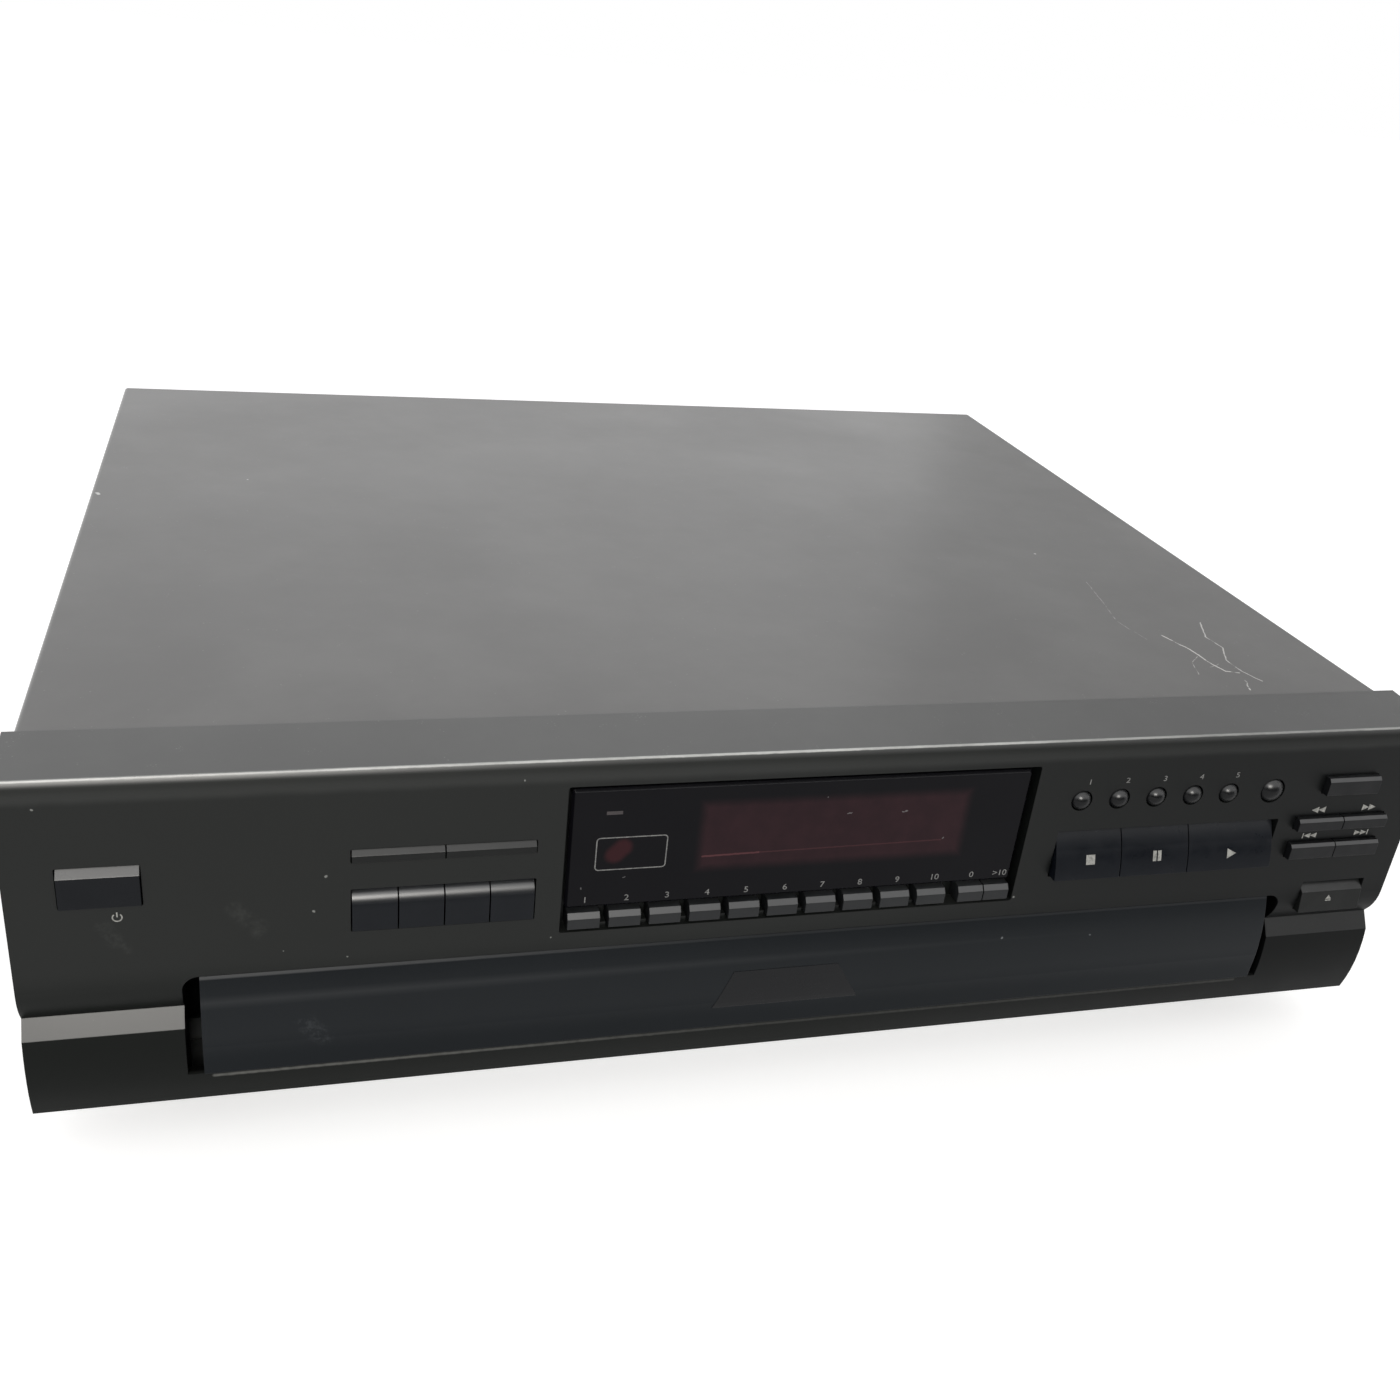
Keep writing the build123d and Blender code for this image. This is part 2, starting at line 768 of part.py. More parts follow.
with BuildPart() as case_screws:
    for x in rear_screw_xs:
        barrel(x, rear_screw_h, (rear_plate[0] - 5.0, case_depth + 0.1), screw_radius)
        barrel(x, rear_screw_h, (case_depth, case_depth + screw_head), screw_head_radius)
        block(
            (x - 2.2, x + 2.2),
            (case_depth + screw_head - 0.8, case_depth + screw_head + 1.0),
            (rear_screw_h - 0.4, rear_screw_h + 0.4),
            Mode.SUBTRACT,
        )
        block(
            (x - 0.4, x + 0.4),
            (case_depth + screw_head - 0.8, case_depth + screw_head + 1.0),
            (rear_screw_h - 2.2, rear_screw_h + 2.2),
            Mode.SUBTRACT,
        )
    for side in (-1, 1):
        for d in side_screw_depths:
            head_face = side * cover_half
            with BuildSketch(side_plane(head_face - side * side_shank)) as shank:
                with Locations((d, side_screw_h)):
                    Circle(screw_radius)
            extrude(shank.sketch, amount=side * (side_shank + 0.1))
            with BuildSketch(side_plane(head_face)) as head:
                with Locations((d, side_screw_h)):
                    Circle(screw_head_radius)
            extrude(head.sketch, amount=side * screw_head)
            with BuildSketch(side_plane(head_face + side * (screw_head - 0.8))) as cross:
                with Locations((d, side_screw_h)):
                    Rectangle(4.4, 0.8)
                    Rectangle(0.8, 4.4)
            extrude(cross.sketch, amount=side * 2.0, mode=Mode.SUBTRACT)
finish(case_screws.part, "case_screws")

foot_taper = 2.2
foot_round = 1.2
pad_radius = 15.0
pad_recess = 1.0
foot_rim = 2.0  # straight band under the case
with BuildPart() as feet:
    for x in (-foot_x, foot_x):
        for d in foot_depths:
            with BuildSketch(Plane((x, face_y + d, 0), x_dir=(1, 0, 0), z_dir=(0, -1, 0))) as half:
                with BuildLine():
                    Polyline(
                        (0, 0),
                        (pad_radius, 0),
                        (pad_radius, pad_recess),
                        (foot_radius - foot_taper - foot_round, pad_recess),
                        (foot_radius - foot_taper, pad_recess + foot_round),
                        (foot_radius, foot_height - foot_rim),
                        (foot_radius, foot_height + chassis_plate),
                        (0, foot_height + chassis_plate),
                        close=True,
                    )
                make_face()
            revolve(half.sketch, axis=Axis((x, face_y + d, 0), (0, 0, 1)))
finish(feet.part, "feet")

# ================================================================ boards and transformer in the case
main_board_x = (179.0, 209.0)
main_board_d = (68.0, jack_housing_front - 5.9)
board_top = main_board_h + board_wall
with BuildPart() as main_board:
    block(main_board_x, main_board_d, (main_board_h, board_top))
    for x, d, radius, tall in (
        (187.0, 96.0, 6.5, 25.0),
        (201.0, 98.0, 5.0, 18.0),
        (188.0, 122.0, 8.0, 30.0),
        (201.0, 290.0, 4.0, 11.0),
        (201.0, 302.0, 4.0, 11.0),
        (188.0, 300.0, 4.0, 11.0),
    ):
        upright(x, d, (board_top - 0.1, board_top + tall), radius)
    for d, length in ((150.0, 34.0), (205.0, 20.0), (240.0, 28.0)):
        block((186.0, 202.0), (d, d + length), (board_top - 0.1, board_top + 3.2))
    # finned heat sink
    block((181.0, 183.0), (90.0, 140.0), (board_top - 0.1, board_top + 28.0))
finish(main_board.part, "main_board")

core_x = (-205.0, -181.0)
core_d = (262.0, 304.0)
core_h = (6.0, 42.0)
with BuildPart() as power_transformer:
    block(core_x, core_d, core_h)
    block((-207.5, -178.5), (270.0, 296.0), (13.0, 35.0))
    # clamping strap with its two feet on the chassis
    strap_base = chassis_plate + sheet
    block((-200.0, -186.0), (core_d[0] - 1.0, core_d[1] + 1.0), (strap_base, core_h[1] + 1.0))
    block((-200.0, -186.0), (core_d[0] - 12.0, core_d[1] + 12.0), (strap_base, strap_base + 1.0))
    for d in (core_d[0] - 7.0, core_d[1] + 7.0):
        upright(-193.0, d, (strap_base - 1.0, strap_base + 2.0), 2.0, Mode.SUBTRACT)
    fillet(power_transformer.edges().filter_by(Axis.Z).group_by(Axis.X)[0], 1.5)
finish(power_transformer.part, "power_transformer")

# ================================================================ loading frame
frame_outer = frame_inner + frame_wall
ledge_inner = 160.0
ledge_h = (tray_skirt - running_gap - 2.3, tray_skirt - running_gap)
guide_h = (tray_top + running_gap, tray_top + running_gap + 2.0)
guide_inner = 163.5
cross_front = (frame_front, 84.0)
cross_back = (333.0, frame_back)
frame_floor_h = (frame_floor, frame_floor + frame_floor_wall)
loading_x = rack_x - rack_module * rack_pinion_teeth / 2
pulley_x = loading_x - pulley_reach
loading_post_radius = 2.5
motor_plate = (wheel_base + wheel_height + 0.6, wheel_base + wheel_height + 2.2)
motor_radius = 12.0
pivot_pin_radius = 2.0
post_inner = deck_half + running_gap + 0.2
post_wall = 5.0
post_half = 5.0

with BuildPart() as loading_frame:
    for side in (-1, 1):
        wall = sorted((side * frame_inner, side * frame_outer))
        block(wall, (frame_front, frame_back), (frame_floor, frame_top))
        ledge = sorted((side * ledge_inner, side * (frame_inner + 0.1)))
        block(ledge, (frame_front, frame_back), ledge_h)
        guide = sorted((side * guide_inner, side * (frame_inner + 0.1)))
        for d in ((frame_front, frame_front + 20.0), (122.0, 142.0)):
            block(guide, d, guide_h)
    for d in (cross_front, cross_back):
        block((-frame_outer, frame_outer), d, frame_floor_h)
    # post for the loading gear
    upright(
        loading_x,
        loading_depth,
        (frame_floor_h[1] - 0.1, wheel_base - running_gap),
        loading_post_radius + 3.0,
    )
    upright(loading_x, loading_depth, (frame_floor_h[1], ledge_h[1]), loading_post_radius)
    # table over the pulley that carries the loading motor
    for x in (pulley_x - 17.0, pulley_x + 4.0):
        block(
            (x - 2.5, x + 2.5),
            (loading_depth + 9.0, loading_depth + 15.0),
            (frame_floor_h[1] - 0.1, motor_plate[0] + 0.1),
        )
    block(
        (pulley_x - 19.5, pulley_x + 19.5),
        (loading_depth - 12.0, loading_depth + 15.0),
        motor_plate,
    )
    upright(pulley_x, loading_depth, grown(motor_plate, 1.0), 3.0, Mode.SUBTRACT)
    # pivot posts for the disc deck, on a pad that joins the rear cross piece
    block(
        (pivot_x - 10.0, pivot_x + 10.0),
        (spindle_depth - post_inner - post_wall - 4.0, cross_back[0] + 1.0),
        frame_floor_h,
    )
    for side in (-1, 1):
        ends = sorted((side * post_inner, side * (post_inner + post_wall)))
        post_d = (spindle_depth + ends[0], spindle_depth + ends[1])
        block(
            (pivot_x - post_half, pivot_x + post_half),
            post_d,
            (frame_floor_h[1] - 0.1, pivot_height + 4.5),
        )
        barrel(
            pivot_x,
            pivot_height,
            grown(post_d, 0.5),
            pivot_pin_radius + shaft_gap,
            Mode.SUBTRACT,
        )
finish(loading_frame.part, "loading_frame")


# ================================================================ gears
def toothed_disc(module, teeth, turn=0.0):
    """Draws a spur gear outline round the sketch origin, with a tooth at angle turn."""
    pitch = pi * module
    root = module * (teeth / 2 - dedendum)
    tip = module * (teeth / 2 + addendum)
    flank = tan(radians(pressure_angle))
    half_tip = pitch * tooth_share / 2 - addendum * module * flank
    half_root = pitch * tooth_share / 2 + dedendum * module * flank
    Circle(root)
    sunk = root - 0.5
    with Locations(Location((0, 0, 0), (0, 0, turn))):
        with PolarLocations(0, teeth):
            Polygon(
                (sunk, -half_root),
                (root, -half_root),
                (tip, -half_tip),
                (tip, half_tip),
                (root, half_root),
                (sunk, half_root),
                align=None,
            )


gear_h = (rack_base, ledge_h[1] - 0.2)
wheel_h = (wheel_base, wheel_base + wheel_height)
groove_depth_wheel = 2.0
with BuildPart() as loading_gear:
    gear_plane = Plane((loading_x, face_y + loading_depth, foot_height))
    upright(loading_x, loading_depth, wheel_h, wheel_radius)
    upright(loading_x, loading_depth, (wheel_h[1] - 0.1, gear_h[0] + 0.1), 8.0)
    with BuildSketch(gear_plane.offset(gear_h[0])):
        toothed_disc(rack_module, rack_pinion_teeth)
    extrude(amount=extent(gear_h))
    upright(
        loading_x,
        loading_depth,
        (wheel_h[0] - 1.0, gear_h[1] + 1.0),
        loading_post_radius + shaft_gap,
        Mode.SUBTRACT,
    )
    # belt groove round the wheel
    with BuildSketch(floor_plane(middle(wheel_h) - belt_side / 2 - belt_gap)) as groove:
        with Locations((loading_x, loading_depth)):
            Circle(wheel_radius + 1.0)
            Circle(wheel_radius - groove_depth_wheel, mode=Mode.SUBTRACT)
    extrude(groove.sketch, amount=belt_side + 2 * belt_gap, mode=Mode.SUBTRACT)
finish(loading_gear.part, "loading_gear")

pulley_flange = 6.2
motor_shaft_radius = 1.0
with BuildPart() as motor_pulley:
    upright(pulley_x, loading_depth, wheel_h, pulley_flange)
    with BuildSketch(floor_plane(middle(wheel_h) - belt_side / 2 - belt_gap)) as groove:
        with Locations((pulley_x, loading_depth)):
            Circle(pulley_flange + 1.0)
            Circle(pulley_radius, mode=Mode.SUBTRACT)
    extrude(groove.sketch, amount=belt_side + 2 * belt_gap, mode=Mode.SUBTRACT)
    upright(
        pulley_x,
        loading_depth,
        grown(wheel_h, 1.0),
        motor_shaft_radius + shaft_gap,
        Mode.SUBTRACT,
    )
finish(motor_pulley.part, "motor_pulley")

motor_h = (motor_plate[1], tray_floor - 0.6)
with BuildPart() as loading_motor:
    upright(pulley_x, loading_depth, motor_h, motor_radius)
    for side in (-1, 1):
        flat = sorted((side * 10.0, side * 14.0))
        block(
            (pulley_x - 14.0, pulley_x + 14.0),
            (loading_depth + flat[0], loading_depth + flat[1]),
            grown(motor_h, 1.0),
            Mode.SUBTRACT,
        )
    upright(pulley_x, loading_depth, (wheel_h[0], motor_h[0] + 0.1), motor_shaft_radius)
    upright(pulley_x, loading_depth, (motor_plate[0] + 0.2, motor_h[0] + 0.1), 2.7)
finish(loading_motor.part, "loading_motor")

belt_plane = floor_plane(middle(wheel_h) - belt_side / 2)
belt_wheel = wheel_radius - groove_depth_wheel + belt_gap
belt_pulley = pulley_radius + belt_gap
with BuildPart() as loading_belt:
    with BuildSketch(belt_plane):
        with Locations((loading_x, loading_depth)):
            Circle(belt_wheel + belt_side)
        with Locations((pulley_x, loading_depth)):
            Circle(belt_pulley + belt_side)
        make_hull()
    extrude(amount=belt_side)
    with BuildSketch(belt_plane):
        with Locations((loading_x, loading_depth)):
            Circle(belt_wheel)
        with Locations((pulley_x, loading_depth)):
            Circle(belt_pulley)
        make_hull()
    extrude(amount=belt_side, mode=Mode.SUBTRACT)
finish(loading_belt.part, "loading_belt")

# ================================================================ drawer front
front_skin = 3.2
with BuildPart() as drawer_front:
    with BuildSketch(side_plane(-drawer_half)):
        with BuildLine():
            TangentArc(
                (-drawer_proud, drawer_belly), (drawer_top_depth, drawer_top), tangent=(0, 1)
            )
            Line((drawer_top_depth, drawer_top), (drawer_back, drawer_top))
            Line((drawer_back, drawer_top), (drawer_back, drawer_base))
            Line((drawer_back, drawer_base), (-drawer_base_proud, drawer_base))
            Line((-drawer_base_proud, drawer_base), (-drawer_proud, drawer_belly))
        make_face()
    extrude(amount=2 * drawer_half)
    block(
        (-drawer_half + moulding_wall, drawer_half - moulding_wall),
        (drawer_top_depth + front_skin, drawer_back + 1.0),
        (drawer_base + moulding_wall, drawer_top - moulding_wall),
        Mode.SUBTRACT,
    )
    for x in (-120.0, -60.0, 0.0, 60.0, 120.0):
        block(
            (x - 1.0, x + 1.0),
            (drawer_top_depth + front_skin - 0.5, drawer_back),
            (drawer_base + 1.0, drawer_top - 1.0),
        )
finish(drawer_front.part, "drawer_front")

# ================================================================ drawer tray
well_radius = carousel_radius + 1.5
tray_wall = 2.5
floor_top_h = tray_floor + tray_floor_wall
slot_x = (pivot_x - 12.0, 34.0)
slot_front = spindle_depth - 36.3
tray_front_h = (drawer_base + 1.6, tray_top)
pinion_reach = ring_module * (ring_teeth + pinion_teeth) / 2
pinion_x = pinion_reach * cos(radians(pinion_angle))
pinion_depth = carousel_depth + pinion_reach * sin(radians(pinion_angle))
rack_pitch = pi * rack_module
rack_root_x = rack_x + dedendum * rack_module
rack_tip_x = rack_x - addendum * rack_module
rack_ends = (loading_depth - 4 * rack_pitch, loading_depth + drawer_travel + 4 * rack_pitch)
cap_radius = 13.0
cap_h = (carousel_top - centre_recess_drop + running_gap, carousel_top + 0.2)

with BuildPart() as drawer_tray:
    block((-tray_half, tray_half), (drawer_back, tray_back), (tray_skirt, tray_top))
    upright(0, carousel_depth, (floor_top_h, tray_top + 1.0), well_radius, Mode.SUBTRACT)
    block(
        (-tray_half + tray_wall, tray_half - tray_wall),
        (drawer_back + tray_wall, tray_back - 1.9),
        (tray_skirt - 1.0, tray_floor),
        Mode.SUBTRACT,
    )
    # the four corners outside the well are hollow under a thin deck
    with BuildSketch(floor_plane(tray_floor - 0.1)) as corners:
        with Locations((0, middle((drawer_back, tray_back)))):
            Rectangle(2 * (tray_half - tray_wall), tray_back - drawer_back - 2 * tray_wall)
        with Locations((0, carousel_depth)):
            Circle(well_radius + 2.0, mode=Mode.SUBTRACT)
    extrude(
        corners.sketch, amount=tray_top - tray_deck_wall - tray_floor + 0.1, mode=Mode.SUBTRACT
    )
    # front wall behind the drawer front, reaching lower than the floor
    block((-tray_half + 4.0, tray_half - 4.0), (drawer_back, drawer_back + 2.0), tray_front_h)
    # boss and bearing post of the carousel, and the ring rail that steadies it
    upright(0, carousel_depth, (floor_top_h - 0.1, carousel_base - running_gap), centre_recess_radius)
    upright(0, carousel_depth, (floor_top_h, cap_h[0]), post_radius)
    with BuildSketch(floor_plane(floor_top_h - 0.1)) as rail:
        with Locations((0, carousel_depth)):
            Circle(rail_radius)
            Circle(rail_radius - rail_wall, mode=Mode.SUBTRACT)
    extrude(rail.sketch, amount=carousel_base - running_gap - floor_top_h + 0.1)
    # slot that lets the disc deck stay behind while the drawer slides
    block(slot_x, (slot_front, tray_back + 1.0), (tray_skirt - 1.0, carousel_base + 0.5), Mode.SUBTRACT)
    # hole for the carousel motor's shaft
    upright(
        pinion_x, pinion_depth, (tray_floor - 1.0, floor_top_h + 1.0), 4.0, Mode.SUBTRACT
    )
    # rack under the floor, toothed on its inner side
    block((rack_root_x, rack_root_x + rack_back_wall), rack_ends, (rack_base, tray_floor + 0.1))
    with BuildSketch(floor_plane(rack_base)) as rack:
        flank = tan(radians(pressure_angle))
        half_tip = rack_pitch * tooth_share / 2 - addendum * rack_module * flank
        half_root = rack_pitch * tooth_share / 2 + dedendum * rack_module * flank
        count = int((rack_ends[1] - rack_ends[0]) / rack_pitch)
        for i in range(count):
            d = rack_ends[0] + (i + 0.5) * rack_pitch
            Polygon(
                (rack_root_x + 0.2, d - half_root),
                (rack_root_x, d - half_root),
                (rack_tip_x, d - half_tip),
                (rack_tip_x, d + half_tip),
                (rack_root_x, d + half_root),
                (rack_root_x + 0.2, d + half_root),
                align=None,
            )
    extrude(rack.sketch, amount=tray_floor - rack_base + 0.1)
    # cap screwed on the post, over the carousel
    upright(0, carousel_depth, cap_h, cap_radius)
    upright(0, carousel_depth, (cap_h[1] - 0.7, cap_h[1] + 1.0), 3.6, Mode.SUBTRACT)
finish(drawer_tray.part, "drawer_tray")

# ================================================================ carousel
with BuildPart() as carousel:
    upright(0, carousel_depth, (carousel_base, carousel_top), carousel_radius)
    turntable = Plane((0, face_y + carousel_depth, foot_height))
    first_pocket = 90.0
    with BuildSketch(turntable.offset(carousel_top - pocket_drop)):
        with PolarLocations(pocket_circle, disc_count, start_angle=first_pocket):
            Circle(pocket_radius)
    extrude(amount=pocket_drop + 1.0, mode=Mode.SUBTRACT)
    with BuildSketch(turntable.offset(carousel_top - pocket_drop - single_drop)):
        with PolarLocations(pocket_circle, disc_count, start_angle=first_pocket):
            Circle(single_radius)
    extrude(amount=single_drop + 1.0, mode=Mode.SUBTRACT)
    # way through each pocket for the hub, and sideways for the lens
    with BuildSketch(turntable.offset(carousel_base - 1.0)):
        with PolarLocations(pocket_circle, disc_count, start_angle=first_pocket):
            Circle(hub_hole_radius)
            with Locations((0, lens_slot_reach / 2)):
                Rectangle(lens_slot_width, lens_slot_reach)
    extrude(amount=carousel_top - carousel_base + 2.0, mode=Mode.SUBTRACT)
    # finger notches in the rim, between the pockets
    with BuildSketch(turntable.offset(carousel_base - 1.0)):
        with PolarLocations(
            carousel_radius + 6.0, disc_count, start_angle=first_pocket + 180.0 / disc_count
        ):
            Circle(20.0)
    extrude(amount=carousel_top - carousel_base + 2.0, mode=Mode.SUBTRACT)
    # centre recess and bearing
    with BuildSketch(turntable.offset(carousel_top - centre_recess_drop)):
        Circle(centre_recess_radius)
    extrude(amount=centre_recess_drop + 1.0, mode=Mode.SUBTRACT)
    # toothed ring underneath
    with BuildSketch(turntable.offset(ring_base)):
        toothed_disc(ring_module, ring_teeth)
        Circle(ring_module * (ring_teeth / 2 - dedendum) - ring_wall, mode=Mode.SUBTRACT)
    extrude(amount=carousel_base - ring_base + 0.1)
    with BuildSketch(turntable.offset(ring_base - 1.0)):
        Circle(post_radius + shaft_gap)
    extrude(amount=carousel_top - ring_base + 2.0, mode=Mode.SUBTRACT)
finish(carousel.part, "carousel")

pinion_h = (floor_top_h + running_gap, carousel_base - running_gap)
with BuildPart() as carousel_pinion:
    with BuildSketch(Plane((pinion_x, face_y + pinion_depth, foot_height + pinion_h[0]))):
        toothed_disc(ring_module, pinion_teeth, turn=pinion_angle - 180.0 + 180.0 / pinion_teeth)
    extrude(amount=extent(pinion_h))
    upright(
        pinion_x, pinion_depth, grown(pinion_h, 1.0), motor_shaft_radius + shaft_gap, Mode.SUBTRACT
    )
finish(carousel_pinion.part, "carousel_pinion")

carousel_motor_h = (drawer_base + 0.3, tray_floor)
with BuildPart() as carousel_motor:
    upright(pinion_x, pinion_depth, carousel_motor_h, motor_radius)
    for side in (-1, 1):
        flat = sorted((side * 10.0, side * 14.0))
        block(
            (pinion_x - 14.0, pinion_x + 14.0),
            (pinion_depth + flat[0], pinion_depth + flat[1]),
            grown(carousel_motor_h, 1.0),
            Mode.SUBTRACT,
        )
    upright(pinion_x, pinion_depth, (tray_floor - 0.1, pinion_h[0] - 0.2), 2.7)
    upright(pinion_x, pinion_depth, (tray_floor, pinion_h[1]), motor_shaft_radius)
finish(carousel_motor.part, "carousel_motor")

# ================================================================ disc deck
# drawn level, as in play, on a plane that rest tips down about the pivot
spindle_reach = -pivot_x
tip_down = asin(deck_lift / spindle_reach)
deck_origin = Plane(
    (pivot_x, face_y + spindle_depth, foot_height + pivot_height),
    x_dir=(cos(tip_down), 0, -sin(tip_down)),
    z_dir=(sin(tip_down), 0, cos(tip_down)),
)
deck_across = Plane(deck_origin.origin, x_dir=deck_origin.x_dir, z_dir=(0, -1, 0))
deck_end = Plane(deck_origin.origin, x_dir=(0, 1, 0), z_dir=deck_origin.x_dir)


def deck_block(u, v, w, mode=Mode.ADD):
    """A block on the deck: u runs from the pivot to the spindle, v to the back, w up."""
    with BuildSketch(deck_origin.offset(w[0])) as base:
        with Locations((middle(u), middle(v))):
            Rectangle(extent(u), extent(v))
    extrude(base.sketch, amount=extent(w), mode=mode)


def deck_round(u, v, w, radius, mode=Mode.ADD):
    """A cylinder that stands square on the deck."""
    with BuildSketch(deck_origin.offset(w[0])) as base:
        with Locations((u, v)):
            Circle(radius)
    extrude(base.sketch, amount=extent(w), mode=mode)


lens_reach = spindle_reach - pickup_start
pickup_u = (lens_reach - 24.0, lens_reach + 6.0)
pickup_h = (2.0, 10.0)
rod_ends = (pickup_u[0] - pickup_travel - 6.0, pickup_u[1] + 7.0)
deck_hole_u = (pickup_u[0] - pickup_travel - 2.0, pickup_u[1] + 2.0)
deck_hole_half = 21.5
rod_block = 3.0
spindle_motor_radius = 13.0
spindle_motor_w = (-4.5, deck_plate[0] + 0.1)
ear_u = 5.0
hub_base = deck_plate[1] + running_gap
hub_shaft_radius = 1.0

with BuildPart() as mech_cradle:
    deck_block((-deck_tail, spindle_reach + deck_nose), (-deck_half, deck_half), deck_plate)
    deck_block(deck_hole_u, (-deck_hole_half, deck_hole_half), grown(deck_plate, 1.0), Mode.SUBTRACT)
    deck_round(spindle_reach, 0, spindle_motor_w, spindle_motor_radius)
    for side in (-1, 1):
        ear = sorted((side * (deck_half - 3.0), side * deck_half))
        deck_block((-ear_u, ear_u), ear, (-3.2, deck_plate[0] + 0.1))
        pin = (deck_half - 0.1, post_inner + post_wall)
        with BuildSketch(deck_across.offset(-side * pin[0])) as pin_end:
            Circle(pivot_pin_radius)
        extrude(pin_end.sketch, amount=-side * extent(pin))
        # rod holders, then the rod itself
        for u in rod_ends:
            deck_block(
                (u - 1.5, u + 1.5) if u == rod_ends[0] else (u - 3.0, u),
                (side * rod_spread - rod_block, side * rod_spread + rod_block),
                (deck_plate[1] - 0.1, rod_rise + rod_radius + 1.0),
            )
        with BuildSketch(deck_end.offset(rod_ends[0])) as rod:
            with Locations((side * rod_spread, rod_rise)):
                Circle(rod_radius)
        extrude(rod.sketch, amount=extent(rod_ends))
    deck_round(
        spindle_reach,
        0,
        (spindle_motor_w[0] + 1.0, deck_plate[1] + 1.0),
        hub_shaft_radius + shaft_gap,
        Mode.SUBTRACT,
    )
finish(mech_cradle.part, "mech_cradle")

hub_seat_wall = 1.5
hub_seat_radius = 15.0
hub_cone_radii = (7.35, 6.0)
hub_cone_height = 2.2
with BuildPart() as spindle_hub:
    deck_round(spindle_reach, 0, (hub_base, seat_rise - hub_seat_wall + 0.1), 6.0)
    deck_round(spindle_reach, 0, (seat_rise - hub_seat_wall, seat_rise), hub_seat_radius)
    with BuildSketch(deck_origin.offset(seat_rise)) as cone_base:
        with Locations((spindle_reach, 0)):
            Circle(hub_cone_radii[0])
    with BuildSketch(deck_origin.offset(seat_rise + hub_cone_height)) as cone_top:
        with Locations((spindle_reach, 0)):
            Circle(hub_cone_radii[1])
    loft([cone_base.sketch.face(), cone_top.sketch.face()])
    deck_round(spindle_reach, 0, (spindle_motor_w[0] + 1.5, hub_base + 0.1), hub_shaft_radius)
finish(spindle_hub.part, "spindle_hub")

lens_radius = 3.2
turret_radius = 6.0
with BuildPart() as pickup:
    deck_block(pickup_u, (-20.5, 20.5), pickup_h)
    deck_block(
        (pickup_u[0] + 8.0, pickup_u[1] + 1.0), (14.0, 21.0), (pickup_h[0] - 1.0, 4.0), Mode.SUBTRACT
    )
    deck_round(lens_reach, 0, (pickup_h[1] - 0.1, lens_rise - 1.2), turret_radius)
    deck_round(lens_reach, 0, (lens_rise - 1.3, lens_rise), lens_radius)
    for side in (-1, 1):
        with BuildSketch(deck_end.offset(pickup_u[0] - 1.0)) as bore:
            with Locations((side * rod_spread, rod_rise)):
                Circle(rod_radius + 2 * shaft_gap)
        extrude(bore.sketch, amount=extent(pickup_u) + 2.0, mode=Mode.SUBTRACT)
finish(pickup.part, "pickup")

# ================================================================ clamp bridge and clamper
bridge_h = (frame_top, frame_top + bridge_sheet)
bridge_rib = 6.0
clamper_neck = 7.5
clamper_lip = 13.0
clamper_recess_radius = 9.0
with BuildPart() as clamp_bridge:
    bridge_d = (spindle_depth - bridge_half, spindle_depth + bridge_half)
    block((-frame_outer, frame_outer), bridge_d, bridge_h)
    for d in ((bridge_d[0], bridge_d[0] + bridge_sheet), (bridge_d[1] - bridge_sheet, bridge_d[1])):
        block((-frame_inner + 4.0, frame_inner - 4.0), d, (bridge_h[0], bridge_h[1] + bridge_rib))
    upright(
        0, spindle_depth, grown(bridge_h, 1.0), clamper_neck + 1.0, Mode.SUBTRACT
    )
finish(clamp_bridge.part, "clamp_bridge")

with BuildPart() as clamper:
    upright(0, spindle_depth, (clamper_base, clamper_base + 4.6), clamper_radius)
    upright(0, spindle_depth, (clamper_base + 4.5, bridge_h[1] + running_gap + 0.1), clamper_neck)
    upright(
        0,
        spindle_depth,
        (bridge_h[1] + running_gap, bridge_h[1] + running_gap + 1.5),
        clamper_lip,
    )
    upright(
        0,
        spindle_depth,
        (clamper_base - 1.0, clamper_base + 3.0),
        clamper_recess_radius,
        Mode.SUBTRACT,
    )
finish(clamper.part, "clamper")
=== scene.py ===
"""A five disc carousel player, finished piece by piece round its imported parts.

Metres, in the part's own frame: +X to the right as the player is looked at, +Y to the back, +Z up.
Places on the player are written in millimetres: x across, d behind the face datum, and h above
the underside of the case, which stands clear of the floor on its feet.
"""

import math

import bmesh
import bpy
from mathutils import Matrix, Vector
from mathutils.bvhtree import BVHTree


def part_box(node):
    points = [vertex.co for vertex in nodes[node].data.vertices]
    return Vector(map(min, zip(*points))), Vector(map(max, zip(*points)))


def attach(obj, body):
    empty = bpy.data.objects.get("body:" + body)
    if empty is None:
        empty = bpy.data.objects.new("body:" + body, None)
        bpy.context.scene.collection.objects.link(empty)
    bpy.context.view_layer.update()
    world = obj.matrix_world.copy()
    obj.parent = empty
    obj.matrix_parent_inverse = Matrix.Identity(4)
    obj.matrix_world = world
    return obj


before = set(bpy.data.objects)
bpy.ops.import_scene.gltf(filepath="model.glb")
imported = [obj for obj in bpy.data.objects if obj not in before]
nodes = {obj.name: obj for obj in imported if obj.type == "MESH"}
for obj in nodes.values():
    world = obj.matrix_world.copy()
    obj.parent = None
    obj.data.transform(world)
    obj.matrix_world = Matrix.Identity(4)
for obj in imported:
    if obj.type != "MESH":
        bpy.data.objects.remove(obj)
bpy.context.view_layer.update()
mm = 0.001

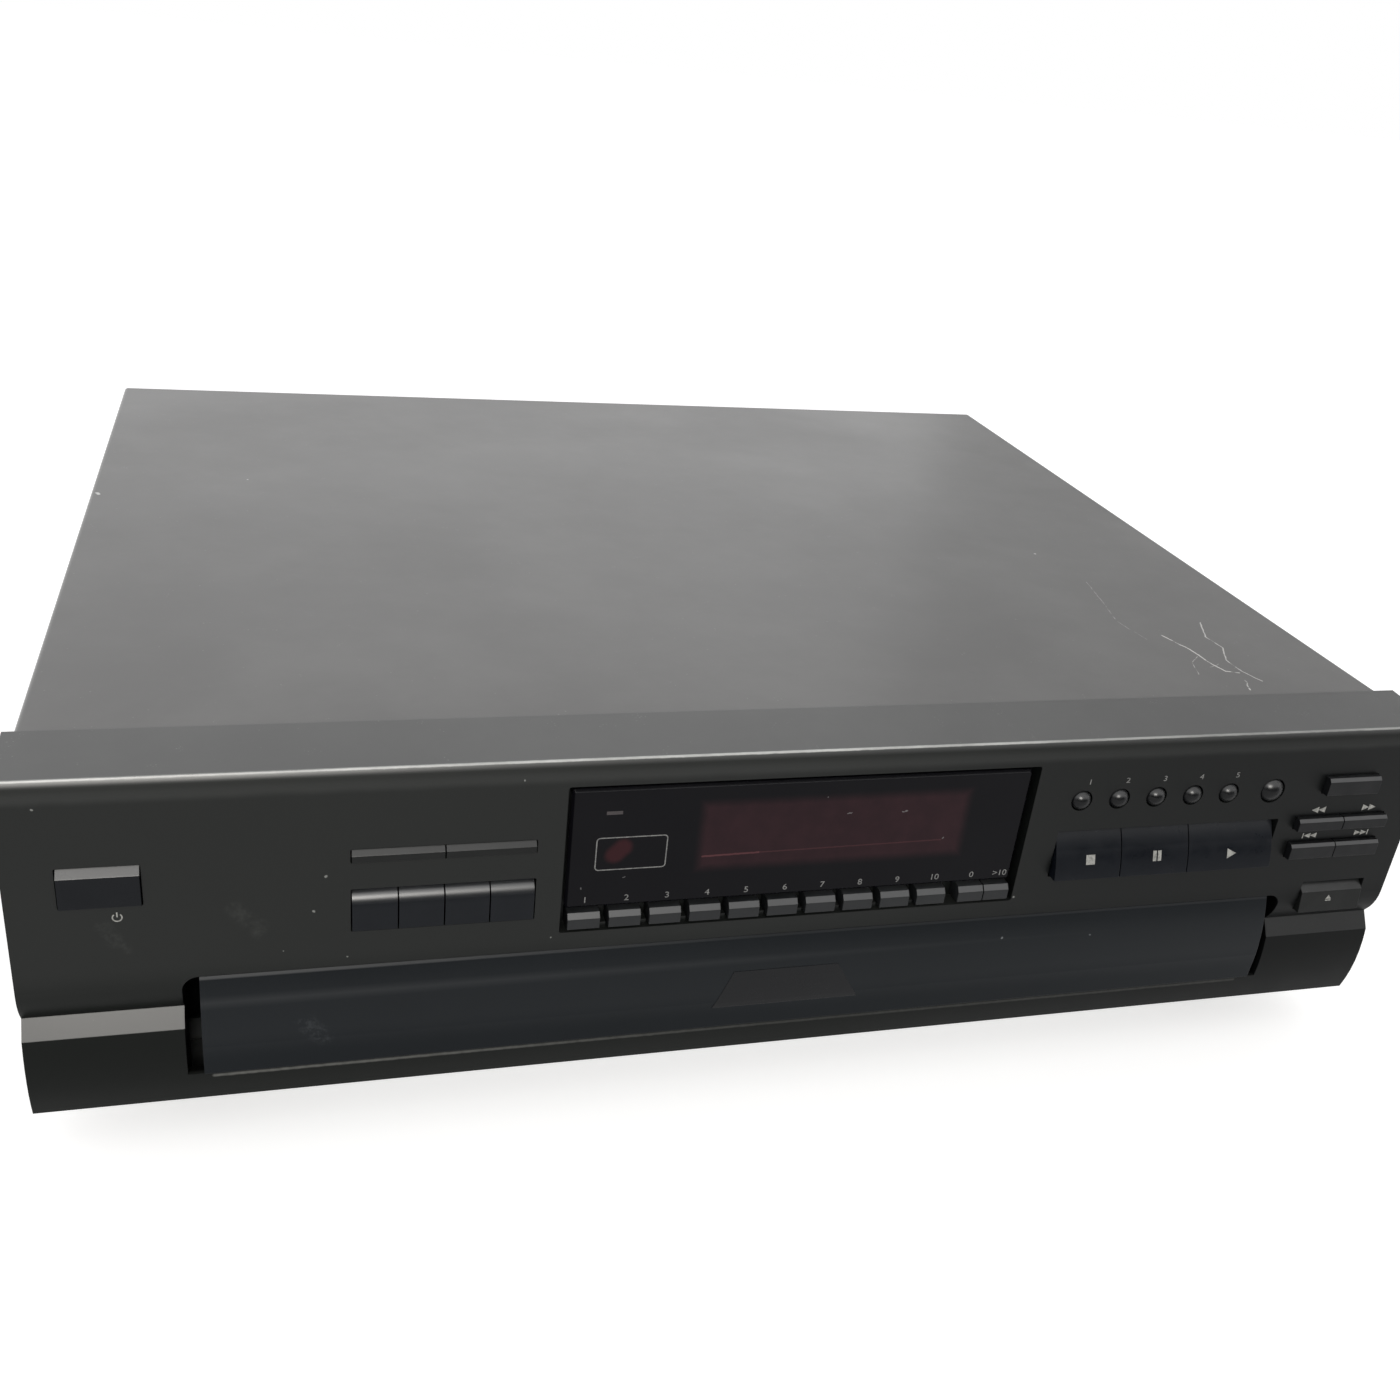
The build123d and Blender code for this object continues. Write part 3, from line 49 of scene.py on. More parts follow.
# ---------------------------------------------------------------- front panel
# One black polystyrene moulding holds the window, every key and the mouth of the drawer. Its skin is
# finely sparked, and along its top edge runs a pale line, partly rubbed by hands reaching for the cover
# and partly a painted highlight.
case_depth = 363.6  # face datum to the rear edge of the cover
hem_height = 0.4
face_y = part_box("top_cover")[1].y - case_depth * mm
case_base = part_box("front_panel")[0].z - hem_height * mm
panel_half = 215.0
crest = (2.4, 106.4)  # depth and height of the edge that hands rub
strip = ((4.8, 32.3), (1.3, 26.9))  # the sloping strip on the two lower blocks
opening_half = 174.0
opening_top = 44.5
lip_line = 11.0  # height of the opening's lower edge
tuck_line = 34.0  # the face turns in under this height


def at(x, d, h):
    """A place on the player, from millimetres."""
    return Vector((x * mm, face_y + d * mm, case_base + h * mm))


def new_group(name, inputs, outputs):
    """An empty shader node group; sockets are given as (name, kind, value)."""
    kinds = {"number": "NodeSocketFloat", "vector": "NodeSocketVector", "colour": "NodeSocketColor"}
    group = bpy.data.node_groups.new(name, "ShaderNodeTree")
    for label, kind, value in inputs:
        socket = group.interface.new_socket(label, in_out="INPUT", socket_type=kinds[kind])
        socket.default_value = value
    for label, kind in outputs:
        group.interface.new_socket(label, in_out="OUTPUT", socket_type=kinds[kind])
    return group, group.nodes.new("NodeGroupInput"), group.nodes.new("NodeGroupOutput")


def math_node(tree, operation, *values):
    """A Math node; each value is a number or a socket to link."""
    node = tree.nodes.new("ShaderNodeMath")
    node.operation = operation
    for slot, value in zip(node.inputs, values):
        feed(tree, slot, value)
    return node.outputs[0]


def times(tree, value, weight):
    """A value or a mask times another."""
    return math_node(tree, "MULTIPLY", value, weight)


def vector_node(tree, operation, *values):
    """A Vector Math node, with its number output for lengths and dot products."""
    node = tree.nodes.new("ShaderNodeVectorMath")
    node.operation = operation
    for slot, value in zip(node.inputs, values):
        feed(tree, slot, value)
    return node.outputs["Value" if operation in ("LENGTH", "DOT_PRODUCT") else "Vector"]


def feed(tree, slot, value):
    if isinstance(value, bpy.types.NodeSocket):
        tree.links.new(value, slot)
    else:
        slot.default_value = value


def ramp(tree, value, low, high, to_low=0.0, to_high=1.0):
    """A smooth step of value between low and high."""
    node = tree.nodes.new("ShaderNodeMapRange")
    node.interpolation_type = "SMOOTHSTEP"
    for label, number in (
        ("Value", value),
        ("From Min", low),
        ("From Max", high),
        ("To Min", to_low),
        ("To Max", to_high),
    ):
        feed(tree, node.inputs[label], number)
    return node.outputs["Result"]


def own_place(tree):
    return tree.nodes.new("ShaderNodeTexCoord").outputs["Object"]


def noise(tree, scale, detail=3.0, roughness=0.5, place=None):
    """Clouds of one size over a piece; place stretches or shares the place they are drawn in."""
    node = tree.nodes.new("ShaderNodeTexNoise")
    feed(tree, node.inputs["Vector"], own_place(tree) if place is None else place)
    feed(tree, node.inputs["Scale"], scale)
    node.inputs["Detail"].default_value = detail
    node.inputs["Roughness"].default_value = roughness
    return node.outputs["Fac"]


# the sparked skin of a moulding: a fine grain, slow blotches, and corners just broken
skin_group, given, out = new_group(
    "moulded skin",
    [("Grain", "number", 2500.0), ("Blotch", "number", 22.0), ("Corner", "number", 0.0003),
     ("Depth", "number", 0.1)],
    [("Shade", "number"), ("Normal", "vector")],
)
place = own_place(skin_group)
skin_group.links.new(noise(skin_group, given.outputs["Blotch"], 5.0, 0.6, place), out.inputs["Shade"])
grain = noise(skin_group, given.outputs["Grain"], 2.0, place=place)
corner = skin_group.nodes.new("ShaderNodeBevel")
corner.samples = 4
skin_group.links.new(given.outputs["Corner"], corner.inputs["Radius"])
sparked = skin_group.nodes.new("ShaderNodeBump")
sparked.inputs["Distance"].default_value = 0.00004
skin_group.links.new(given.outputs["Depth"], sparked.inputs["Strength"])
skin_group.links.new(grain, sparked.inputs["Height"])
skin_group.links.new(corner.outputs["Normal"], sparked.inputs["Normal"])
skin_group.links.new(sparked.outputs["Normal"], out.inputs["Normal"])

# one mark: a scratch, smear, speck or painted highlight, as thick as Width, along the line between two
# places
mark_group, given, out = new_group(
    "mark",
    [("From", "vector", (0, 0, 0)), ("To", "vector", (0, 0, 0)), ("Width", "number", 0.0005),
     ("Fray", "number", 0.0), ("Fray Scale", "number", 300.0)],
    [("Mask", "number")],
)
place = own_place(mark_group)
wander = mark_group.nodes.new("ShaderNodeTexNoise")
mark_group.links.new(given.outputs["Fray Scale"], wander.inputs["Scale"])
mark_group.links.new(place, wander.inputs["Vector"])
shift = vector_node(mark_group, "SUBTRACT", wander.outputs["Color"], (0.5, 0.5, 0.5))
scaled = mark_group.nodes.new("ShaderNodeVectorMath")
scaled.operation = "SCALE"
mark_group.links.new(shift, scaled.inputs[0])
mark_group.links.new(given.outputs["Fray"], scaled.inputs["Scale"])
here = vector_node(mark_group, "ADD", place, scaled.outputs["Vector"])
run = vector_node(mark_group, "SUBTRACT", given.outputs["To"], given.outputs["From"])
away = vector_node(mark_group, "SUBTRACT", here, given.outputs["From"])
along = math_node(
    mark_group,
    "DIVIDE",
    vector_node(mark_group, "DOT_PRODUCT", away, run),
    vector_node(mark_group, "DOT_PRODUCT", run, run),
)
clamped = mark_group.nodes.new("ShaderNodeClamp")
mark_group.links.new(along, clamped.inputs["Value"])
foot_of = mark_group.nodes.new("ShaderNodeVectorMath")
foot_of.operation = "SCALE"
mark_group.links.new(run, foot_of.inputs[0])
mark_group.links.new(clamped.outputs["Result"], foot_of.inputs["Scale"])
distance = vector_node(
    mark_group, "LENGTH", vector_node(mark_group, "SUBTRACT", away, foot_of.outputs["Vector"])
)
half_width = times(mark_group, given.outputs["Width"], 0.5)
edge = times(mark_group, given.outputs["Width"], 0.2)
mark_group.links.new(ramp(mark_group, distance, half_width, edge), out.inputs["Mask"])

# dust that has settled on what faces up: a thin film, with grains in it
dust_group, given, out = new_group(
    "settled dust",
    [("Film", "number", 0.3), ("Specks", "number", 0.5), ("Speck Scale", "number", 900.0)],
    [("Mask", "number")],
)
place = own_place(dust_group)
facing = dust_group.nodes.new("ShaderNodeSeparateXYZ")
dust_group.links.new(dust_group.nodes.new("ShaderNodeNewGeometry").outputs["Normal"], facing.inputs[0])
lying = ramp(dust_group, facing.outputs["Z"], 0.3, 0.95)
film = ramp(dust_group, noise(dust_group, 14.0, 6.0, 0.65, place), 0.35, 0.75)
film = times(dust_group, film, given.outputs["Film"])
grains = dust_group.nodes.new("ShaderNodeTexVoronoi")
dust_group.links.new(place, grains.inputs["Vector"])
dust_group.links.new(given.outputs["Speck Scale"], grains.inputs["Scale"])
sparse = ramp(dust_group, noise(dust_group, 180.0, 2.0, place=place), 0.62, 0.70)
dots = ramp(dust_group, grains.outputs["Distance"], 0.30, 0.12)
sparse = times(dust_group, sparse, given.outputs["Specks"])
dots = times(dust_group, dots, sparse)
dust_group.links.new(
    times(dust_group, lying, math_node(dust_group, "MAXIMUM", film, dots)),
    out.inputs["Mask"],
)

# a box with soft sides, for a part of a piece that has its own finish or its own painted shade
zone_group, given, out = new_group(
    "zone",
    [("Low", "vector", (0, 0, 0)), ("High", "vector", (1, 1, 1)), ("Soft", "number", 0.0003)],
    [("Mask", "number")],
)
place = own_place(zone_group)
inward = vector_node(
    zone_group,
    "MINIMUM",
    vector_node(zone_group, "SUBTRACT", place, given.outputs["Low"]),
    vector_node(zone_group, "SUBTRACT", given.outputs["High"], place),
)
parts = zone_group.nodes.new("ShaderNodeSeparateXYZ")
zone_group.links.new(inward, parts.inputs[0])
least = math_node(
    zone_group,
    "MINIMUM",
    parts.outputs["X"],
    math_node(zone_group, "MINIMUM", parts.outputs["Y"], parts.outputs["Z"]),
)
spread = times(zone_group, given.outputs["Soft"], -1.0)
zone_group.links.new(ramp(zone_group, least, spread, given.outputs["Soft"]), out.inputs["Mask"])


def use_group(tree, group, output, **values):
    """Places a group with its values and returns one of its outputs, or all if output is None."""
    node = tree.nodes.new("ShaderNodeGroup")
    node.node_tree = group
    for label, value in values.items():
        feed(tree, node.inputs[label.replace("_", " ")], value)
    return node.outputs if output is None else node.outputs[output]


def zone(tree, x, d, h, soft=0.3):
    """The mask of a box on the player, from millimetres."""
    return use_group(
        tree, zone_group, "Mask", Low=at(x[0], d[0], h[0]), High=at(x[1], d[1], h[1]), Soft=soft * mm
    )


def mark(tree, start, end, width, fray=0.0, fray_scale=300.0):
    """The mask of a mark between two places, from millimetres."""
    return use_group(
        tree,
        mark_group,
        "Mask",
        From=at(*start),
        To=at(*end),
        Width=width * mm,
        Fray=fray * mm,
        Fray_Scale=fray_scale,
    )


def along_axis(tree, axis):
    """How far along X, Y or Z a place on the player is."""
    parts = tree.nodes.new("ShaderNodeSeparateXYZ")
    tree.links.new(own_place(tree), parts.inputs[0])
    return parts.outputs[axis]


def looking_up(tree, low, high):
    """The mask of faces whose slope looks up by more than low to high."""
    parts = tree.nodes.new("ShaderNodeSeparateXYZ")
    tree.links.new(tree.nodes.new("ShaderNodeNewGeometry").outputs["Normal"], parts.inputs[0])
    return ramp(tree, parts.outputs["Z"], low, high)


def any_of(tree, masks):
    """The greatest of several masks."""
    most = masks[0]
    for other in masks[1:]:
        most = math_node(tree, "MAXIMUM", most, other)
    return most


def mix_colour(tree, mask, plain, other):
    """plain where the mask is 0 and other where it is 1; each is a colour or a socket."""
    node = tree.nodes.new("ShaderNodeMix")
    node.data_type = "RGBA"
    feed(tree, node.inputs["Factor"], mask)
    for slot, value in ((node.inputs[6], plain), (node.inputs[7], other)):
        feed(tree, slot, (*value, 1.0) if isinstance(value, tuple) else value)
    return node.outputs[2]


def new_material(name, roughness, specular=0.5, metallic=0.0):
    """A material with its one Principled shader."""
    material = bpy.data.materials.new(name)
    material.use_nodes = True
    shader = material.node_tree.nodes["Principled BSDF"]
    shader.inputs["Roughness"].default_value = roughness
    shader.inputs["Specular IOR Level"].default_value = specular
    shader.inputs["Metallic"].default_value = metallic
    return material, material.node_tree, shader


def wear(name, material):
    """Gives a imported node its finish."""
    owner = nodes[name]
    owner.data.materials.clear()
    owner.data.materials.append(material)


panel_skin, tree, shader = new_material("panel skin", 0.42, 0.075)
skin = use_group(tree, skin_group, None, Grain=3200.0, Blotch=18.0, Corner=0.3 * mm, Depth=0.22)
black = mix_colour(tree, skin["Shade"], (0.0046, 0.0055, 0.0050), (0.0088, 0.0099, 0.0091))
across = along_axis(tree, "X")
# painted shade: the face is darkened and cooled towards the right, as if the light came from the left
black = mix_colour(tree, ramp(tree, across, -0.06, 0.20, 0.0, 0.5), black, (0.0012, 0.0014, 0.0022))
# painted highlight: the pale crest line is partly rubbed paint and partly a painted highlight, brightest
# across the middle of the width
middle = times(tree, ramp(tree, across, -0.150, -0.105), ramp(tree, across, 0.100, 0.055))
crest_line = mark(tree, (-panel_half, *crest), (panel_half, *crest), 1.25, 0.25, 400.0)
crest_line = times(tree, crest_line, ramp(tree, middle, 0.0, 1.0, 0.62, 1.0))
streaks = ramp(tree, noise(tree, 30.0, 6.0, 0.7), 0.30, 0.62, 0.60, 1.0)
rubbed_and_highlit = times(tree, crest_line, streaks)
# painted highlight: a soft pale sheen on the rounded brow just under the top edge
brow_sheen = mark(tree, (-panel_half, 1.6, 103.4), (panel_half, 1.6, 103.4), 8.5, 0.8, 90.0)
brow_sheen = times(tree, brow_sheen, 0.26)
specks = [
    mark(tree, (x, 1.0, h), (x, 1.0, h), width, 0.6, 1500.0)
    for x, h, width in (
        (-136.0, 74.4, 1.15),
        (-139.3, 63.4, 1.1),
        (-130.6, 47.6, 0.6),
        (-147.5, 51.0, 0.5),
        (-74.0, 49.0, 0.7),
        (72.6, 51.5, 0.9),
        (-205.5, 99.0, 0.8),
        (-84.0, 101.4, 0.7),
    )
]
smears = [
    mark(tree, (-159.4, 1.0, 65.0), (-153.6, 1.0, 59.0), 7.0, 5.0, 260.0),
    mark(tree, (-191.4, 1.0, 62.4), (-188.0, 1.0, 56.0), 6.0, 5.0, 260.0),
]
film_grain = ramp(tree, noise(tree, 420.0, 5.0, 0.7), 0.35, 0.75)
smear = times(tree, any_of(tree, smears), times(tree, film_grain, 0.045))
lying_dust = use_group(tree, dust_group, "Mask", Film=0.05, Specks=0.28, Speck_Scale=1100.0)
# the brow's painted sheen
black = mix_colour(tree, brow_sheen, black, (0.060, 0.062, 0.060))
black = mix_colour(tree, any_of(tree, [smear, lying_dust]), black, (0.30, 0.31, 0.29))
black = mix_colour(tree, times(tree, any_of(tree, specks), 0.4), black, (0.42, 0.43, 0.41))
# the crest line's pale colour: rubbed paint and painted highlight together
black = mix_colour(tree, times(tree, rubbed_and_highlit, 0.85), black, (0.56, 0.57, 0.55))
# painted highlight: a pale line along the lower edge of the drawer's opening, brighter at the left
lip = mark(tree, (-167.0, 1.8, lip_line - 1.1), (166.0, 1.8, lip_line - 1.1), 2.2, 0.25, 500.0)
lip = times(tree, lip, ramp(tree, across, -0.165, 0.02, 0.42, 0.12))
black = mix_colour(tree, lip, black, (0.36, 0.36, 0.34))
# painted shade: the walls inside the drawer's opening are darkened almost to black
mouth_shade = zone(
    tree, (-opening_half - 0.6, opening_half + 0.6), (2.2, 40.0), (lip_line - 0.6, opening_top + 1.0), 0.4
)
black = mix_colour(tree, times(tree, mouth_shade, 0.85), black, (0.0012, 0.0012, 0.0012))
tree.links.new(black, shader.inputs["Base Color"])
tree.links.new(ramp(tree, skin["Shade"], 0.2, 0.8, 0.36, 0.50), shader.inputs["Roughness"])
tree.links.new(skin["Normal"], shader.inputs["Normal"])
# the ledge on top and the sloping strips are the parts that a cloth has burnished
full_width = (-panel_half - 5.0, panel_half + 5.0)
ledge_zone = zone(tree, full_width, (crest[0] - 1.2, 30.0), (crest[1] - 1.3, 112.0), 1.1)
strip_zone = zone(
    tree, full_width, (strip[1][0] - 0.3, strip[0][0] + 0.2), (strip[1][1], strip[0][1]), 0.15
)
strip_zone = times(tree, strip_zone, 0.46)
turned_in = case_base + tuck_line * mm
upper = ramp(tree, along_axis(tree, "Z"), turned_in, turned_in + 16.0 * mm, 0.0, 0.12)
upper = times(tree, upper, ramp(tree, across, -0.05, 0.17, 1.0, 0.40))
tree.links.new(any_of(tree, [ledge_zone, strip_zone, upper]), shader.inputs["Coat Weight"])
shader.inputs["Coat IOR"].default_value = 1.9
shader.inputs["Coat Roughness"].default_value = 0.32
wear("front_panel", panel_skin)

# ---------------------------------------------------------------- display window
# A bevelled acrylic window, smoked almost black, pegged into the recess. Behind it glows nothing:
# only a red filter shows where the display is, and a darker red spot where the receiver looks out.
lens_front = 2.6
filter_x = (-31.5, 50.0)
filter_h = (69.0, 89.8)
receiver_x = (-62.6, -41.8)
receiver_h = (69.8, 80.8)

window_acrylic, tree, shader = new_material("smoked acrylic", 0.09, 0.07)
through = (lens_front - 1.0, 8.0)
fade = noise(tree, 60.0, 3.0)
smoke = mix_colour(tree, fade, (0.0030, 0.0029, 0.0042), (0.0046, 0.0045, 0.0058))
lit = zone(tree, filter_x, through, filter_h, 2.6)
patchy = ramp(tree, noise(tree, 120.0, 4.0, 0.6), 0.25, 0.75, 0.72, 1.0)
smoke = mix_colour(tree, times(tree, lit, patchy), smoke, (0.0300, 0.0128, 0.0160))
# painted highlight: a thin bright red line along a ledge behind the window, brighter at its left
ledge = mark(tree, (-31.0, lens_front, 72.6), (-14.0, lens_front, 72.9), 0.8, 0.3, 900.0)
smoke = mix_colour(tree, times(tree, ledge, 0.55), smoke, (0.12, 0.045, 0.050))
ledge = mark(tree, (-14.0, lens_front, 72.9), (44.0, lens_front, 73.6), 0.6, 0.3, 900.0)
smoke = mix_colour(tree, times(tree, ledge, 0.22), smoke, (0.12, 0.045, 0.050))
receiver = mark(tree, (-57.0, lens_front, 74.8), (-54.8, lens_front, 77.2), 7.4, 1.0, 200.0)
smoke = mix_colour(tree, times(tree, receiver, 0.6), smoke, (0.046, 0.012, 0.015))
fluff = [
    mark(tree, (x, lens_front, h), (x + run, lens_front, h + 0.3), width, 0.8, 1200.0)
    for x, h, run, width in (
        (12.0, 84.6, 1.4, 0.5),
        (29.6, 84.2, 1.5, 0.6),
        (5.0, 90.4, 0.0, 0.5),
        (-54.0, 67.0, 0.5, 0.45),
        (-66.0, 64.0, 0.0, 0.45),
        (44.4, 74.0, 0.4, 0.5),
    )
]
smoke = mix_colour(tree, times(tree, any_of(tree, fluff), 0.35), smoke, (0.3, 0.3, 0.3))
haze = ramp(tree, noise(tree, 35.0, 5.0, 0.65), 0.35, 0.75, 0.07, 0.16)
tree.links.new(smoke, shader.inputs["Base Color"])
tree.links.new(haze, shader.inputs["Roughness"])
bevel = times(tree, looking_up(tree, 0.25, 0.6), 0.55)
tree.links.new(bevel, shader.inputs["Coat Weight"])
shader.inputs["Coat IOR"].default_value = 1.8
shader.inputs["Coat Roughness"].default_value = 0.2
skin = use_group(tree, skin_group, None, Grain=300.0, Blotch=30.0, Corner=0.35 * mm, Depth=0.02)
tree.links.new(skin["Normal"], shader.inputs["Normal"])
wear("display_window", window_acrylic)

# ---------------------------------------------------------------- printing
# Figures and signs are pad printed in a thin pale ink, on the panel, the window and some of the
# keys. Each lies on the surface that carries it and moves with it.
ink_film = 0.05  # thickness
ink_sunk = 0.03


def new_ink(name, thin, full):
    """A printing ink, worn thin in places."""
    material, tree, shader = new_material(name, 0.55, 0.3)
    worn = ramp(tree, noise(tree, 900.0, 4.0, 0.7), 0.30, 0.62)
    tree.links.new(mix_colour(tree, worn, thin, full), shader.inputs["Base Color"])
    return material


pale_ink = new_ink("pale ink", (0.17, 0.17, 0.16), (0.33, 0.33, 0.31))
dim_ink = new_ink("dim ink", (0.10, 0.10, 0.10), (0.19, 0.19, 0.185))


def lay_on(mesh, node):
    """Moves a flat print, drawn at x and z with its thickness in y, onto a node's front."""
    surface = BVHTree.FromObject(nodes[node], bpy.context.evaluated_depsgraph_get())
    for vertex in mesh.vertices:
        hit = surface.ray_cast(Vector((vertex.co.x, -1.0, vertex.co.z)), Vector((0, 1, 0)))[0]
        if hit is not None:
            vertex.co.y += hit.y


def add_piece(name, mesh, material, body):
    """Puts a new piece on its body with its finish."""
    mesh.materials.clear()
    mesh.materials.append(material)
    piece = bpy.data.objects.new(name, mesh)
    bpy.context.scene.collection.objects.link(piece)
    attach(piece, body)
    return piece


def print_shape(name, outlines, x, h, node, body, ink, slices=1):
    """Prints closed outlines, in millimetres about x, h, as a thin film on a node's front."""
    sheet = bmesh.new()
    for outline in outlines:
        corners = [
            sheet.verts.new(((x + u) * mm, -ink_film * mm, case_base + (h + v) * mm))
            for u, v in outline
        ]
        sheet.faces.new(corners)
    if slices > 1:
        bmesh.ops.triangulate(sheet, faces=sheet.faces[:])
        bmesh.ops.subdivide_edges(sheet, edges=sheet.edges[:], cuts=slices, use_grid_fill=True)
    grown = bmesh.ops.extrude_face_region(sheet, geom=sheet.faces[:])
    back = [item for item in grown["geom"] if isinstance(item, bmesh.types.BMVert)]
    bmesh.ops.translate(sheet, verts=back, vec=(0, (ink_film + ink_sunk) * mm, 0))
    bmesh.ops.recalc_face_normals(sheet, faces=sheet.faces[:])
    mesh = bpy.data.meshes.new(name)
    sheet.to_mesh(mesh)
    sheet.free()
    lay_on(mesh, node)
    return add_piece(name, mesh, ink, body)


def print_figure(name, figure, x, h, tall, node, body, ink, wide=1.1):
    """Prints a figure, tall millimetres high and centred on x, h, on a node's front."""
    curve = bpy.data.curves.new(name, "FONT")
    curve.body = figure
    curve.align_x = "CENTER"
    curve.extrude = (ink_film + ink_sunk) / 2 * mm
    curve.size = tall * mm / 0.7
    writing = bpy.data.objects.new(name, curve)
    bpy.context.scene.collection.objects.link(writing)
    mesh = bpy.data.meshes.new_from_object(
        writing.evaluated_get(bpy.context.evaluated_depsgraph_get())
    )
    bpy.data.objects.remove(writing)
    bpy.data.curves.remove(curve)
    merged = bmesh.new()
    merged.from_mesh(mesh)
    bmesh.ops.remove_doubles(merged, verts=merged.verts[:], dist=0.001 * mm)
    merged.to_mesh(mesh)
    merged.free()
    low = min(vertex.co.y for vertex in mesh.vertices)
    high = max(vertex.co.y for vertex in mesh.vertices)
    upright = Matrix(((wide, 0, 0, x * mm), (0, 0, -1, 0), (0, 1, 0, 0), (0, 0, 0, 1)))
    mesh.transform(upright)
    lift = case_base + h * mm - (low + high) / 2
    sink = (ink_sunk - ink_film) / 2 * mm
    mesh.transform(Matrix.Translation((0, sink, lift)))
    lay_on(mesh, node)
    return add_piece(name, mesh, ink, body)


def ring_outline(half_x, half_h, corner_round, steps=6):
    """A rounded rectangle's points, about its centre."""
    points = []
    for turn, (sx, sh) in enumerate(((1, 1), (-1, 1), (-1, -1), (1, -1))):
        for step in range(steps + 1):
            angle = math.radians(90.0 * (turn + step / steps))
            points.append(
                (
                    sx * (half_x - corner_round) + corner_round * math.cos(angle),
                    sh * (half_h - corner_round) + corner_round * math.sin(angle),
                )
            )
    return points


def strips_between(outer, inner):
    """Quads that fill the gap between two outlines with as many points."""
    count = len(outer)
    return [
        [outer[i], outer[(i + 1) % count], inner[(i + 1) % count], inner[i]] for i in range(count)
    ]


frame_half = ((receiver_x[1] - receiver_x[0]) / 2, (receiver_h[1] - receiver_h[0]) / 2)
frame_line = 0.33
print_shape(
    "receiver_outline",
    strips_between(
        ring_outline(*frame_half, 1.2),
        ring_outline(frame_half[0] - frame_line, frame_half[1] - frame_line, 1.2 - frame_line),
    ),
    sum(receiver_x) / 2,
    sum(receiver_h) / 2,
    "display_window",
    "chassis",
    dim_ink,
)
standby_ink, tree, shader = new_material("standby bar", 0.4, 0.3)
glow = noise(tree, 600.0, 3.0)
tree.links.new(
    mix_colour(tree, glow, (0.030, 0.026, 0.027), (0.052, 0.044, 0.046)), shader.inputs["Base Color"]
)
print_shape(
    "standby_bar",
    [[(-2.3, -0.55), (2.3, -0.55), (2.3, 0.55), (-2.3, 0.55)]],
    -58.0,
    88.8,
    "display_window",
    "chassis",
    standby_ink,
)
number_xs = (-64.6, -52.4, -40.3, -28.2, -16.2, -4.1, 7.7, 19.9, 32.1, 44.4, 56.9, 66.5)
number_figures = ("1", "2", "3", "4", "5", "6", "7", "8", "9", "10", "0", ">10")
for number, (x, figure) in enumerate(zip(number_xs, number_figures), 1):
    print_figure(
        f"number_print_{number}",
        figure,
        x,
        60.1,
        2.0,
        "display_window",
        "chassis",
        dim_ink,
    )
disc_first = 88.2
disc_pitch = 13.1
for disc in range(5):
    print_figure(
        f"disc_print_{disc + 1}",
        str(disc + 1),
        disc_first + disc * disc_pitch + 1.4,
        92.4,
        1.8,
        "front_panel",
        "chassis",
        dim_ink,
        1.2,
    )


def pointer(left, right, half, sign):
    """A triangle from its flat side to its tip; sign is 1 to point right and -1 to point left."""
    return [(sign * left, -half), (sign * right, 0.0), (sign * left, half)]


def bar(left, right, half, sign=1):
    return [(sign * left, -half), (sign * right, -half), (sign * right, half), (sign * left, half)]


wind_marks = (("search_back", 177.3, -1), ("search_forward", 197.0, 1))
for name, x, sign in wind_marks:
    arrows = [pointer(-2.6, 0.0, 1.15, sign), pointer(0.0, 2.6, 1.15, sign)]
    print_shape(
        f"{name}_print", arrows, x, 77.6, "front_panel", "chassis", pale_ink
    )
skip_marks = (("skip_back", 177.1, -1), ("skip_forward", 197.4, 1))
for name, x, sign in skip_marks:
    arrows = [
        pointer(-2.6, -0.2, 0.95, sign),
        pointer(-0.2, 2.2, 0.95, sign),
        bar(2.35, 2.75, 0.95, sign),
    ]
    print_shape(
        f"{name}_print", arrows, x, 67.8, "front_panel", "chassis", pale_ink
    )
rim_outer = 1.35
rim_inner = 1.0
rim_turns = [math.radians(angle) for angle in range(40, 321, 20)]
switch_rim = [(rim_outer * math.sin(turn), rim_outer * math.cos(turn)) for turn in rim_turns]
switch_bore = [(rim_inner * math.sin(turn), rim_inner * math.cos(turn)) for turn in rim_turns]
power_mark = strips_between(switch_rim, switch_bore)[:-1]  # open at the top, for the stroke
power_mark.append([(-0.18, 0.1), (0.18, 0.1), (0.18, 1.6), (-0.18, 1.6)])
print_shape(
    "power_print", power_mark, -188.4, 65.5, "front_panel", "chassis", pale_ink
)

# ---------------------------------------------------------------- keys
# Each key is a separate moulding that slides in its slot and presses a small switch behind. The
# bar keys are a cool black, a little glossier than the panel, and shine where fingers land.


def key_finish(name, dark, light, roughness, specular, top=0.0, corner=0.28, depth=0.12, swell=0.0):
    """A key's moulding: cool black with soft blotches. It is burnished by top where it looks up,
    and by swell where the transport keys stand proudest."""
    material, tree, shader = new_material(name, roughness, specular)
    skin = use_group(tree, skin_group, None, Grain=3600.0, Blotch=90.0, Corner=corner * mm, Depth=depth)
    polished = ramp(tree, noise(tree, 150.0, 4.0, 0.6), 0.35, 0.70)
    dust = use_group(tree, dust_group, "Mask", Film=0.10, Specks=0.30, Speck_Scale=1500.0)
    colour = mix_colour(tree, skin["Shade"], dark, light)
    colour = mix_colour(tree, dust, colour, (0.28, 0.29, 0.30))
    tree.links.new(colour, shader.inputs["Base Color"])
    tree.links.new(
        ramp(tree, polished, 0.0, 1.0, roughness + 0.06, roughness - 0.08), shader.inputs["Roughness"]
    )
    tree.links.new(skin["Normal"], shader.inputs["Normal"])
    if top:
        burnished = times(tree, looking_up(tree, 0.20, 0.55), top)
        if swell:
            proud = zone(tree, (80.0, 166.0), (-20.0, 20.0), (66.4, 68.6), 2.8)
            burnished = any_of(tree, [burnished, times(tree, proud, swell)])
        tree.links.new(burnished, shader.inputs["Coat Weight"])
    shader.inputs["Coat IOR"].default_value = 1.9
    shader.inputs["Coat Roughness"].default_value = 0.30
    return material


